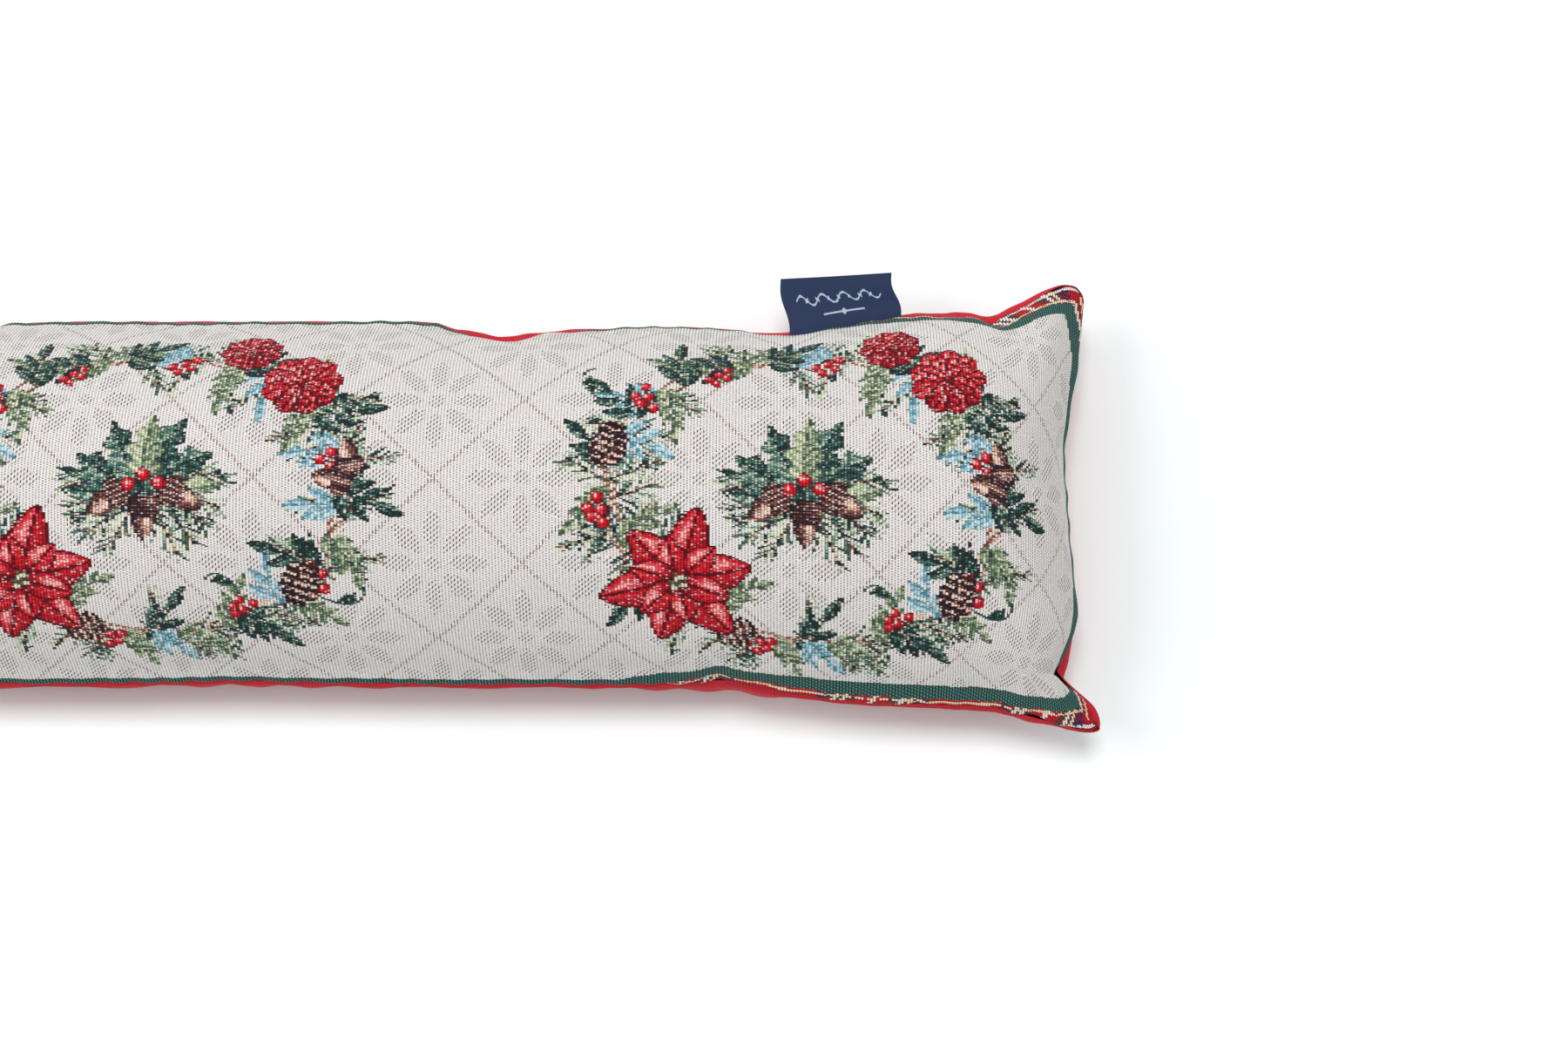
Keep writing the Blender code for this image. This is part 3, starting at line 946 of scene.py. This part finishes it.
def ground(chart):
    """Cream cloth with a diamond lattice and an eight-leaved rosette in each diamond."""
    rising = (chart.x - LATTICE_START) / LATTICE_LONG + chart.y / LATTICE_WIDE
    falling = (chart.x - LATTICE_START) / LATTICE_LONG - chart.y / LATTICE_WIDE
    off_line = np.minimum(np.abs(rising % 2 - 1), np.abs(falling % 2 - 1)) * LATTICE_GAP
    from_rising = rising - np.round(rising / 2) * 2
    from_falling = falling - np.round(falling / 2) * 2
    from_x = (from_rising + from_falling) / 2 * LATTICE_LONG
    from_y = (from_rising - from_falling) / 2 * LATTICE_WIDE
    reach = np.hypot(from_x, from_y)
    turn = (np.arctan2(from_y, from_x) + math.pi / 8) % (math.pi / 4) - math.pi / 8
    along = (reach * np.cos(turn) - LEAF_MIDDLE) / LEAF_HALF_LENGTH
    across = np.abs(reach * np.sin(turn)) / LEAF_HALF_WIDTH
    rosette = (across < 1 - along**2) | (reach < ROSETTE_EYE)
    even = (chart.pick + chart.rib) % 2 == 0
    slant = (chart.pick - 2 * chart.rib) % 4
    strong = np.where(rosette, LONG_DOTS, SMALL_DOTS)
    dotted = np.where(rosette, slant < 2, even)
    # Between the dots the grooves take a faint painted shade of the dots' yarn
    dots = np.where(dotted, strong, GAP_SHADE) + DOT_NOISE * chart.noise
    chart.groove[..., :3] = DOTS[(chart.pick // 4 * 3 + chart.rib) % len(DOTS)]
    in_line = (off_line < LATTICE_GROOVE) & (chart.pick % 4 < 3)
    chart.groove[..., 3] = np.where(in_line, LINE_GROOVE, dots)
    shaded = rosette & (slant >= 1) & (slant < 3)
    shade = 1 - SLANT_SHADE * shaded + CREAM_NOISE * chart.noise
    chart.thread[:] = CREAM * shade[..., None]
    on_line = (off_line < LATTICE_THREAD) & (chart.pick % 2 == 0)
    twig = TWIGS[1 + (chart.rib + chart.pick) % 3]
    chart.thread[on_line] = mix(chart.thread, twig, LINE_MIX)[on_line]


# Border: a green band, and the tartan outside it. A sett is a row of stripes, each with its
# width in millimetres and its yarn. It repeats along an edge from a start, or runs outward
# from the band. Along the long sides its stripes lean by the slant
LONG_SETT = (
    (34, "red"), (4.4, "navy"), (2.4, "green"), (2.2, "white"), (1.8, "green"), (2.2, "white"),
    (4, "green"), (5.6, "red"), (2.2, "white"), (5.4, "red"), (4.4, "green"), (2.2, "white"),
    (1.8, "green"), (2.0, "yellow"), (1.8, "green"), (5.2, "navy"),
)
LONG_OUTWARD = (
    (0.8, "red"), (1.2, "yellow"), (4.4, "red"), (1.4, "navy"), (1.6, "white"), (1.4, "green"),
    (9, "red"),
)
END_OUTWARD = ((1.9, "white"), (2.4, "green"), (1.6, "yellow"), (9, "red"))
PALE = ("white", "yellow")
BAND = 6.7
LONG_START = 240
END_START = 62
SLANT = 0.6

# The grooves of the tartan hold painted shade: half its yarn and half its red, both darkened
YARN_SHADE = 0.3
RED_SHADE = 0.5

# How much of the tartan shows outside the band, in pairs of the place along an edge and the
# width, in millimetres. Below zero, the seam takes up a part of the band too
NEAR_TARTAN = (
    (-400, 11), (-372, 7), (-330, 1), (-280, -1.8), (190, -1.8), (212, 2.5), (234, 8.5),
    (258, 5.8), (300, 5.0), (335, 4.4), (368, 5.4), (384, 8), (398, 12),
)
FAR_TARTAN = (
    (-400, 11), (-372, 7), (-340, -1.5), (255, -1.5), (282, 1.5), (320, 5), (340, 9.5),
    (356, 13), (384, 12), (400, 12),
)
END_TARTAN = (
    (-100, 13), (-92, 11), (-85, 6.5), (-78, -1), (-71, -1.5), (20, -2), (45, -1.5),
    (62, -0.5), (76, 3), (90, 8), (100, 12),
)

# Width of the band along the ends, in the same pairs. It spreads where the cloth fans out
END_BAND = (
    (-100, 15), (-90, 14), (-84, 10), (-78, 6), (-66, 9), (50, 8.4), (80, 8.4), (100, 9),
)


def striped(place, sett):
    """The number of the stripe at each place, its yarn, and whether it is a pale one."""
    widths, names = zip(*sett)
    ends = np.cumsum(widths)
    number = np.searchsorted(ends, place % ends[-1], side="right")
    yarns = np.array([TARTAN[name] for name in names])
    return number, yarns[number], np.isin(names, PALE)[number]


def plaid(chart, outward, along, outward_sett):
    """Weaves stripes that run along an edge with stripes that run out to it."""
    _, yarn_out, pale_out = striped(outward, outward_sett)
    number, yarn_along, pale_along = striped(along, LONG_SETT)
    twill = (chart.rib + chart.pick) % 4 > 0
    loose = (chart.rib + chart.pick // 2) % 4 < 3
    alone = pale_out & (loose | (number == 0))
    over = (twill | pale_along) & ~alone
    return np.where(over[..., None], yarn_along, yarn_out)


def border(chart):
    """Weaves the green band and the tartan over the edge of the chart."""
    shown = np.where(chart.y < 0, value_at(NEAR_TARTAN, chart.x), value_at(FAR_TARTAN, chart.x))
    from_side = HALF_WIDTH / MM - np.abs(chart.y) - shown
    from_end = HALF_LENGTH / MM - np.abs(chart.x) - value_at(END_TARTAN, chart.y)
    outside = np.minimum(from_side, from_end) < 0
    band = ~outside & ((from_side < BAND) | (from_end < value_at(END_BAND, chart.y)))
    light = (chart.rib + chart.pick) % 3 == 0
    chart.thread[band] = np.where(light[..., None], GREEN_LIGHT, GREEN)[band]
    chart.groove[band, :3] = GREEN_DARK
    chart.groove[band, 3] = BAND_GROOVE
    long_side = plaid(chart, -from_side, chart.x - LONG_START - SLANT * from_side, LONG_OUTWARD)
    end_side = plaid(chart, -from_end, np.abs(chart.y) - END_START, END_OUTWARD)
    woven = np.where((from_end < from_side)[..., None], end_side, long_side)
    chart.thread[outside] = woven[outside]
    # Painted shade in the tartan's grooves: its yarn and its red, darkened
    tartan_groove_shade = mix(woven * YARN_SHADE, TARTAN["red"] * RED_SHADE, 0.5)
    chart.groove[outside, :3] = tartan_groove_shade[outside]
    chart.groove[outside, 3] = TARTAN_GROOVE


def front_chart():
    """The whole front: ground, three repeats of the motif, and the border."""
    chart = Chart(RIBS)
    ground(chart)
    picture = motif()
    place = (np.arange(RIBS) - MOTIF_START) % MOTIF_RIBS
    filled = picture.filled[place]
    chart.thread[filled] = picture.thread[place][filled]
    chart.groove[filled] = picture.groove[place][filled]
    speck = filled & (chart.noise > 1 - 2 * SPECKS)
    chart.thread[speck] = mix(chart.thread, CREAM, SPECK_MIX)[speck]
    border(chart)
    return chart


# Meshes
def grid_mesh(name, points, upside_down=False):
    """A mesh of quads over a grid of points."""
    along, across = points.shape[:2]
    index = np.arange(along * across).reshape(along, across)
    corners = [index[:-1, :-1], index[1:, :-1], index[1:, 1:], index[:-1, 1:]]
    if upside_down:
        corners.reverse()
    quads = np.stack(corners, axis=-1).reshape(-1)
    count = len(quads) // 4
    mesh = bpy.data.meshes.new(name)
    mesh.vertices.add(along * across)
    mesh.vertices.foreach_set("co", points.reshape(-1))
    mesh.loops.add(len(quads))
    mesh.loops.foreach_set("vertex_index", quads)
    mesh.polygons.add(count)
    mesh.polygons.foreach_set("loop_start", np.arange(count) * 4)
    mesh.update(calc_edges=True)
    return mesh, quads


def store(mesh, name, kind, domain, values):
    """Keeps values on the mesh for the materials, one for each point or face."""
    key = "vector" if kind == "FLOAT_VECTOR" else "color"
    mesh.attributes.new(name, kind, domain).data.foreach_set(key, values.reshape(-1))


def store_flat(mesh, u, v):
    """Keeps each point's place on the flat cloth, in metres."""
    store(mesh, "flat", "FLOAT_VECTOR", "POINT", np.stack([u, v, np.zeros_like(u)], axis=-1))


def store_colour(mesh, name, colours):
    """Keeps a colour for each face."""
    values = np.ones(colours.shape[:-1] + (4,))
    values[..., : colours.shape[-1]] = colours
    store(mesh, name, "FLOAT_COLOR", "FACE", values)


def store_map(mesh, quads, u, v):
    """A texture map that fills its square with the flat cloth."""
    across = ramp(u, u.min(), u.max())
    up = ramp(v, v.min(), v.max())
    places = np.stack([across, up], axis=-1).reshape(-1, 2)
    mesh.uv_layers.new(name="OFBake").data.foreach_set("uv", places[quads].reshape(-1))


def placed(name, data):
    """A new object in the scene."""
    made = bpy.data.objects.new(name, data)
    bpy.context.scene.collection.objects.link(made)
    return made


def piece(name, mesh, finish, node):
    """An object that rides on the cushion and stands for a node of the frame."""
    made = placed(name, mesh)
    mesh.materials.append(finish)
    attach(made, "root")
    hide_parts(node)
    return made


def tapestry(finish):
    """The woven front, in three pieces with a column for each rib and each groove."""
    chart = front_chart()
    column = np.arange(2 * RIBS + 1)
    row = np.linspace(-HALF_WIDTH, HALF_WIDTH, ROWS + 1)
    u, v = np.meshgrid(column * RIB / 2 - HALF_LENGTH, row, indexing="ij")
    points = front_points(u, v)
    relief = np.where(column % 2 == 1, 1, -1)[:, None] * RIB_RELIEF + folds(u, v)
    points = points + normals(points) * relief[..., None]
    face = np.arange(2 * RIBS)
    thread = chart.thread[face // 2]
    groove = chart.groove[np.minimum((face + 1) // 2, RIBS - 1)]
    for name, start, stop in PIECES:
        part = slice(2 * start, 2 * stop + 1)
        faces = slice(2 * start, 2 * stop)
        mesh, quads = grid_mesh(name, points[part])
        store_flat(mesh, u[part], v[part])
        for half, picks in (("near", slice(0, None, 2)), ("far", slice(1, None, 2))):
            store_colour(mesh, "thread_" + half, thread[faces, picks])
            store_colour(mesh, "groove_" + half, groove[faces, picks])
        store_map(mesh, quads, u[part], v[part])
        made = piece(name, mesh, finish, "cushion")


def backing(finish):
    """The plain red back, from the seam round to the floor."""
    column = np.linspace(-HALF_LENGTH, HALF_LENGTH, round(2 * HALF_LENGTH / BACK_STEP) + 1)
    row = np.linspace(-HALF_WIDTH, HALF_WIDTH, round(2 * HALF_WIDTH / BACK_STEP) + 1)
    u, v = np.meshgrid(column, row, indexing="ij")
    mesh, quads = grid_mesh("backing", back_points(u, v), upside_down=True)
    store_flat(mesh, u, v)
    store_map(mesh, quads, u, v)
    mesh.shade_smooth()
    made = piece("backing", mesh, finish, "back_panel")


# Label: a ribbon of two layers, folded at its free edge
LABEL_STITCH = 0.35 * MM
LABEL_LAYERS = 0.9 * MM
LABEL_FOLD_STEPS = 9
RIBBON = 0.3 * MM

# Its ornament, in millimetres: a scroll and a line, with how far out each lies and its half
# thickness, the waves of the scroll, the dots in its bends, and the gem on the line
SCROLL_OUT = 12.2
SCROLL_HALF = 0.4
SCROLL_STEP = 9.2
SCROLL_SWING = 1.9
DOT_SIZE = 0.62
DOT_SWING = 0.55
DOTS_REACH = 17
LINE_OUT = 6.2
LINE_HALF = 0.28
LINE_REACH = 9
GEM_SIZE = 1.5


def label_ornament(across, out):
    """A pale scroll with dots in its bends, over a short line with a gem."""
    swing = SCROLL_SWING * np.sin(2 * math.pi * across / SCROLL_STEP)
    bend = SCROLL_STEP / 4
    aside = np.abs(across)
    scroll = (np.abs(out - SCROLL_OUT - swing) < SCROLL_HALF) & (aside < 2 * SCROLL_STEP)
    dots = np.abs((across + bend) % (2 * bend) - bend) < DOT_SIZE
    dots &= (np.abs(out - SCROLL_OUT + DOT_SWING * swing) < DOT_SIZE) & (aside < DOTS_REACH)
    line = (np.abs(out - LINE_OUT) < LINE_HALF) & (aside < LINE_REACH)
    gem = aside + np.abs(out - LINE_OUT) < GEM_SIZE
    return scroll | dots | line | gem


def label(finish):
    """The ribbon label: out from the seam, round its fold and back."""
    columns = round(LABEL_WIDTH / LABEL_STITCH)
    rows = round(LABEL_LENGTH / LABEL_STITCH)
    width = np.linspace(-0.5, 0.5, columns + 1)
    u = LABEL_AT + LABEL_WIDTH * width
    turn = np.linspace(0, math.pi, LABEL_FOLD_STEPS)[1:-1]
    straight = np.linspace(0, 1, rows + 1)
    round_fold = 1 + LABEL_LAYERS / 2 / LABEL_LENGTH * np.sin(turn)
    out = np.concatenate([straight, round_fold, straight[::-1]])
    level = np.concatenate([np.ones(rows + 1), np.cos(turn), -np.ones(rows + 1)])
    root = front_points(u, np.full_like(u, HALF_WIDTH))
    sheet = np.repeat(root[:, None, :], len(out), axis=1)
    wave = LABEL_WAVE * np.sin(2 * math.pi * out)
    right = width[:, None] + 0.5
    free_edge = np.mean(root[:, 1]) + TUCK_DEPTH + LABEL_LENGTH + LABEL_TILT * right
    sheet[..., 0] += LABEL_SKEW * out + wave
    sheet[..., 1] = mix(root[:, 1:2], free_edge, out)
    sheet[..., 2] += LABEL_LAYERS * (1 + level) / 2 - LABEL_DROOP * out**2 + wave * right
    mesh, _ = grid_mesh("ribbon_label", sheet)
    across, along = np.meshgrid(width * LABEL_WIDTH, out * LABEL_LENGTH, indexing="ij")
    along = along + LABEL_LENGTH * 2 * (np.arange(len(out)) > rows)
    store_flat(mesh, across, along)
    middles = [(edge[1:, 1:] + edge[:-1, :-1]) / 2 / MM for edge in (across, along)]
    pale = label_ornament(*middles)
    store_colour(mesh, "thread", np.where(pale[..., None], SILVER, NAVY))
    made = piece("ribbon_label", mesh, finish, "label")
    thick = made.modifiers.new("ribbon", "SOLIDIFY")
    thick.thickness = RIBBON
    thick.offset = 0


# Materials: the threads of the back and of the ribbon, and the brightest tone of both
BACK_YARN = 0.9 * MM
RIBBON_RIB = 0.6 * MM
PLAIN_BRIGHTEST = 1.12

# The part of a rib's wave over which its groove comes in, the part of the fuzz over which the
# tone changes, and the grain and the tones of the woven front
GROOVE_SPAN = (-0.2, 0.7)
FUZZ_SPAN = (0.2, 0.8)
WOVEN_GRAIN = 900.0
WOVEN_TONES = (0.88, 1.1)

# Relief of the woven front: its depth, and the shares of the ribs, the fuzz and the rows in it
WOVEN_RELIEF = 0.25 * MM
RIB_SHARE = -0.5
FUZZ_SHARE = 0.5
ROW_SHARE = -0.25


class Nodes:
    """Builds a shader from short calls, each of which returns a socket."""

    def __init__(self, name):
        self.finish = bpy.data.materials.new(name)
        self.finish.use_nodes = True
        self.tree = self.finish.node_tree
        self.shader = self.tree.nodes["Principled BSDF"]

    def put(self, node, values):
        """Sets inputs of a node, by number or by name with _ for a space."""
        for key, value in values.items():
            socket = node.inputs[key.replace("_", " ") if isinstance(key, str) else key]
            if isinstance(value, bpy.types.NodeSocket):
                self.tree.links.new(value, socket)
            else:
                socket.default_value = value

    def add(self, kind, *values, **named):
        """A new node with inputs set in order or by name."""
        node = self.tree.nodes.new("ShaderNode" + kind)
        self.put(node, {**dict(enumerate(values)), **named})
        return node

    def attribute(self, name):
        """Reads a stored value of the mesh."""
        node = self.add("Attribute")
        node.attribute_name = name
        return node.outputs

    def math(self, operation, *values):
        """One step of arithmetic."""
        node = self.add("Math", *values)
        node.operation = operation
        return node.outputs[0]

    def parts(self, vector):
        """The three numbers of a vector."""
        return self.add("SeparateXYZ", vector).outputs

    def wave(self, place, step):
        """A cosine along a place, 1 at each whole step."""
        return self.math("COSINE", self.math("MULTIPLY", place, 2 * math.pi / step))

    def between(self, value, low, high, out_low=0.0, out_high=1.0):
        """Eases a value from one range to another, and stops at its ends."""
        node = self.add("MapRange", value, low, high, out_low, out_high)
        node.interpolation_type = "SMOOTHSTEP"
        return node.outputs[0]

    def noise(self, place, scale):
        """Soft random values round 0.5."""
        return self.add("TexNoise", Vector=place, Scale=scale).outputs["Fac"]

    def blend(self, share, a, b, kind="MIX"):
        """Mixes two colours, at the numbers that colours have among the node's sockets."""
        node = self.add("Mix")
        node.data_type = "RGBA"
        node.blend_type = kind
        self.put(node, {0: share, 6: a, 7: b})
        return node.outputs[2]

    def bump(self, height, distance):
        """Turns a height into a slope of the surface."""
        node = self.add("Bump", Distance=distance, Strength=0.5, Height=height)
        self.surface(Normal=node.outputs[0])

    def surface(self, **values):
        """Sets inputs of the shader."""
        self.put(self.shader, values)


def woven_finish():
    """Ribbed cloth: one yarn on each rib, and in the grooves between, rows of dots and painted
    shade.
    """
    nodes = Nodes("tapestry")
    flat = nodes.attribute("flat")["Vector"]
    u, v, _ = nodes.parts(flat)
    upper = nodes.math("GREATER_THAN", nodes.math("FRACT", nodes.math("DIVIDE", v, ROW)), 0.5)
    thread = nodes.blend(
        upper, nodes.attribute("thread_near")["Color"], nodes.attribute("thread_far")["Color"]
    )
    groove_near = nodes.attribute("groove_near")
    groove_far = nodes.attribute("groove_far")
    groove = nodes.blend(upper, groove_near["Color"], groove_far["Color"])
    strength = nodes.between(upper, 0.0, 1.0, groove_near["Alpha"], groove_far["Alpha"])
    valley = nodes.wave(u, RIB)
    amount = nodes.math("MULTIPLY", nodes.between(valley, *GROOVE_SPAN), strength)
    # In each rib's valley the groove colour comes in: dots of yarn in the ground, painted shade in
    # the motif and the tartan
    colour = nodes.blend(amount, thread, groove)
    fuzz = nodes.noise(flat, WOVEN_GRAIN)
    tone = nodes.between(fuzz, *FUZZ_SPAN, *WOVEN_TONES)
    colour = nodes.blend(1.0, colour, tone, "MULTIPLY")
    height = nodes.math("MULTIPLY", fuzz, FUZZ_SHARE)
    height = nodes.math("MULTIPLY_ADD", valley, RIB_SHARE, height)
    height = nodes.math("MULTIPLY_ADD", nodes.wave(v, ROW), ROW_SHARE, height)
    nodes.bump(height, WOVEN_RELIEF)
    nodes.surface(Base_Color=colour, Roughness=0.9, Specular_IOR_Level=0.2, Sheen_Weight=0.03)
    return nodes.finish


def plain_finish(nodes, colour, weave, share, grain, darkest, relief, **shine):
    """Plain cloth of one colour, made uneven by a share of its weave and by fuzz."""
    fuzz = nodes.noise(nodes.attribute("flat")["Vector"], grain)
    uneven = nodes.math("MULTIPLY_ADD", weave, share, fuzz)
    tone = nodes.between(uneven, *FUZZ_SPAN, darkest, PLAIN_BRIGHTEST)
    nodes.bump(nodes.math("MULTIPLY_ADD", weave, 0.5, fuzz), relief)
    nodes.surface(Base_Color=nodes.blend(1.0, colour, tone, "MULTIPLY"), **shine)
    return nodes.finish


def backing_finish():
    """Plain red cloth with a fine weave."""
    nodes = Nodes("backing")
    u, v, _ = nodes.parts(nodes.attribute("flat")["Vector"])
    weave = nodes.math("MULTIPLY", nodes.wave(u, BACK_YARN), nodes.wave(v, BACK_YARN))
    return plain_finish(
        nodes, (*BACK_RED, 1), weave, share=0.15, grain=1200.0, darkest=0.8, relief=0.12 * MM,
        Roughness=0.8, Specular_IOR_Level=0.25, Sheen_Weight=0.04,
    )


def label_finish():
    """A ribbon with fine cross ribs and a slight gloss."""
    nodes = Nodes("ribbon")
    ribs = nodes.wave(nodes.parts(nodes.attribute("flat")["Vector"])[1], RIBBON_RIB)
    return plain_finish(
        nodes, nodes.attribute("thread")["Color"], ribs, share=0.12, grain=1500.0, darkest=0.82,
        relief=0.08 * MM, Roughness=0.6, Specular_IOR_Level=0.3, Sheen_Weight=0.05,
    )


# Stage: floor, light and camera. The levels add up to the brightness of a white floor. The
# cool floor and the cool light all round make up for the warm light off the red back
FLOOR_HALF = 5.0
FLOOR_LEVEL = -0.3 * MM
FLOOR_COLOUR = (0.88, 0.93, 0.93, 1)
ROUND_COLOUR = (0.96, 1.0, 1.0, 1)
ROUND_LEVEL = 0.6
LIT_PLACE = Vector((0.25, 0.0, 0.0))

# Two soft square lights: one from the left, and one from above and a little to the far side
Lamp = namedtuple("Lamp", "name place size level")
LAMPS = (Lamp("left", (-3.0, 0.6, 3.0), 2.2, 0.24), Lamp("top", (0.1, 0.9, 4.0), 1.3, 0.46))


def floor():
    """A plain pale floor."""
    mesh = bpy.data.meshes.new("floor")
    corners = ((-1, -1), (1, -1), (1, 1), (-1, 1))
    points = [(x * FLOOR_HALF, y * FLOOR_HALF, FLOOR_LEVEL) for x, y in corners]
    mesh.from_pydata(points, [], [(0, 1, 2, 3)])
    nodes = Nodes("floor")
    nodes.surface(Base_Color=FLOOR_COLOUR, Roughness=0.9, Specular_IOR_Level=0.1)
    mesh.materials.append(nodes.finish)
    made = placed("floor", mesh)


def lights():
    """The lamps, facing the middle of the view, and an even light all round."""
    for row in LAMPS:
        toward = LIT_PLACE - Vector(row.place)
        data = bpy.data.lights.new(row.name, "AREA")
        data.size = row.size
        data.energy = row.level * math.pi**2 * toward.length**3 / row.place[2]
        made = placed(row.name, data)
        made.location = row.place
        made.rotation_euler = toward.to_track_quat("-Z", "Y").to_euler()
    world = bpy.data.worlds.new("studio")
    bpy.context.scene.world = world
    world.use_nodes = True
    background = world.node_tree.nodes["Background"]
    background.inputs["Color"].default_value = ROUND_COLOUR
    background.inputs["Strength"].default_value = ROUND_LEVEL
    bpy.context.scene.view_settings.view_transform = "Standard"


CAMERA_TARGET = Vector((259.2, -8.25, 36)) * MM
CAMERA_DISTANCE = 933.6 * MM
CAMERA_ELEVATION = math.radians(80)


def camera():
    """The photo's viewpoint: from above, a little to the near side."""
    data = bpy.data.cameras.new("camera")
    data.lens = 50
    data.sensor_width = 36
    made = placed("camera", data)
    back = Vector((0, -math.cos(CAMERA_ELEVATION), math.sin(CAMERA_ELEVATION)))
    made.location = CAMERA_TARGET + CAMERA_DISTANCE * back
    made.rotation_euler = (math.pi / 2 - CAMERA_ELEVATION, 0, 0)
    bpy.context.scene.camera = made


backing(backing_finish())
tapestry(woven_finish())
label(label_finish())
floor()
lights()
camera()
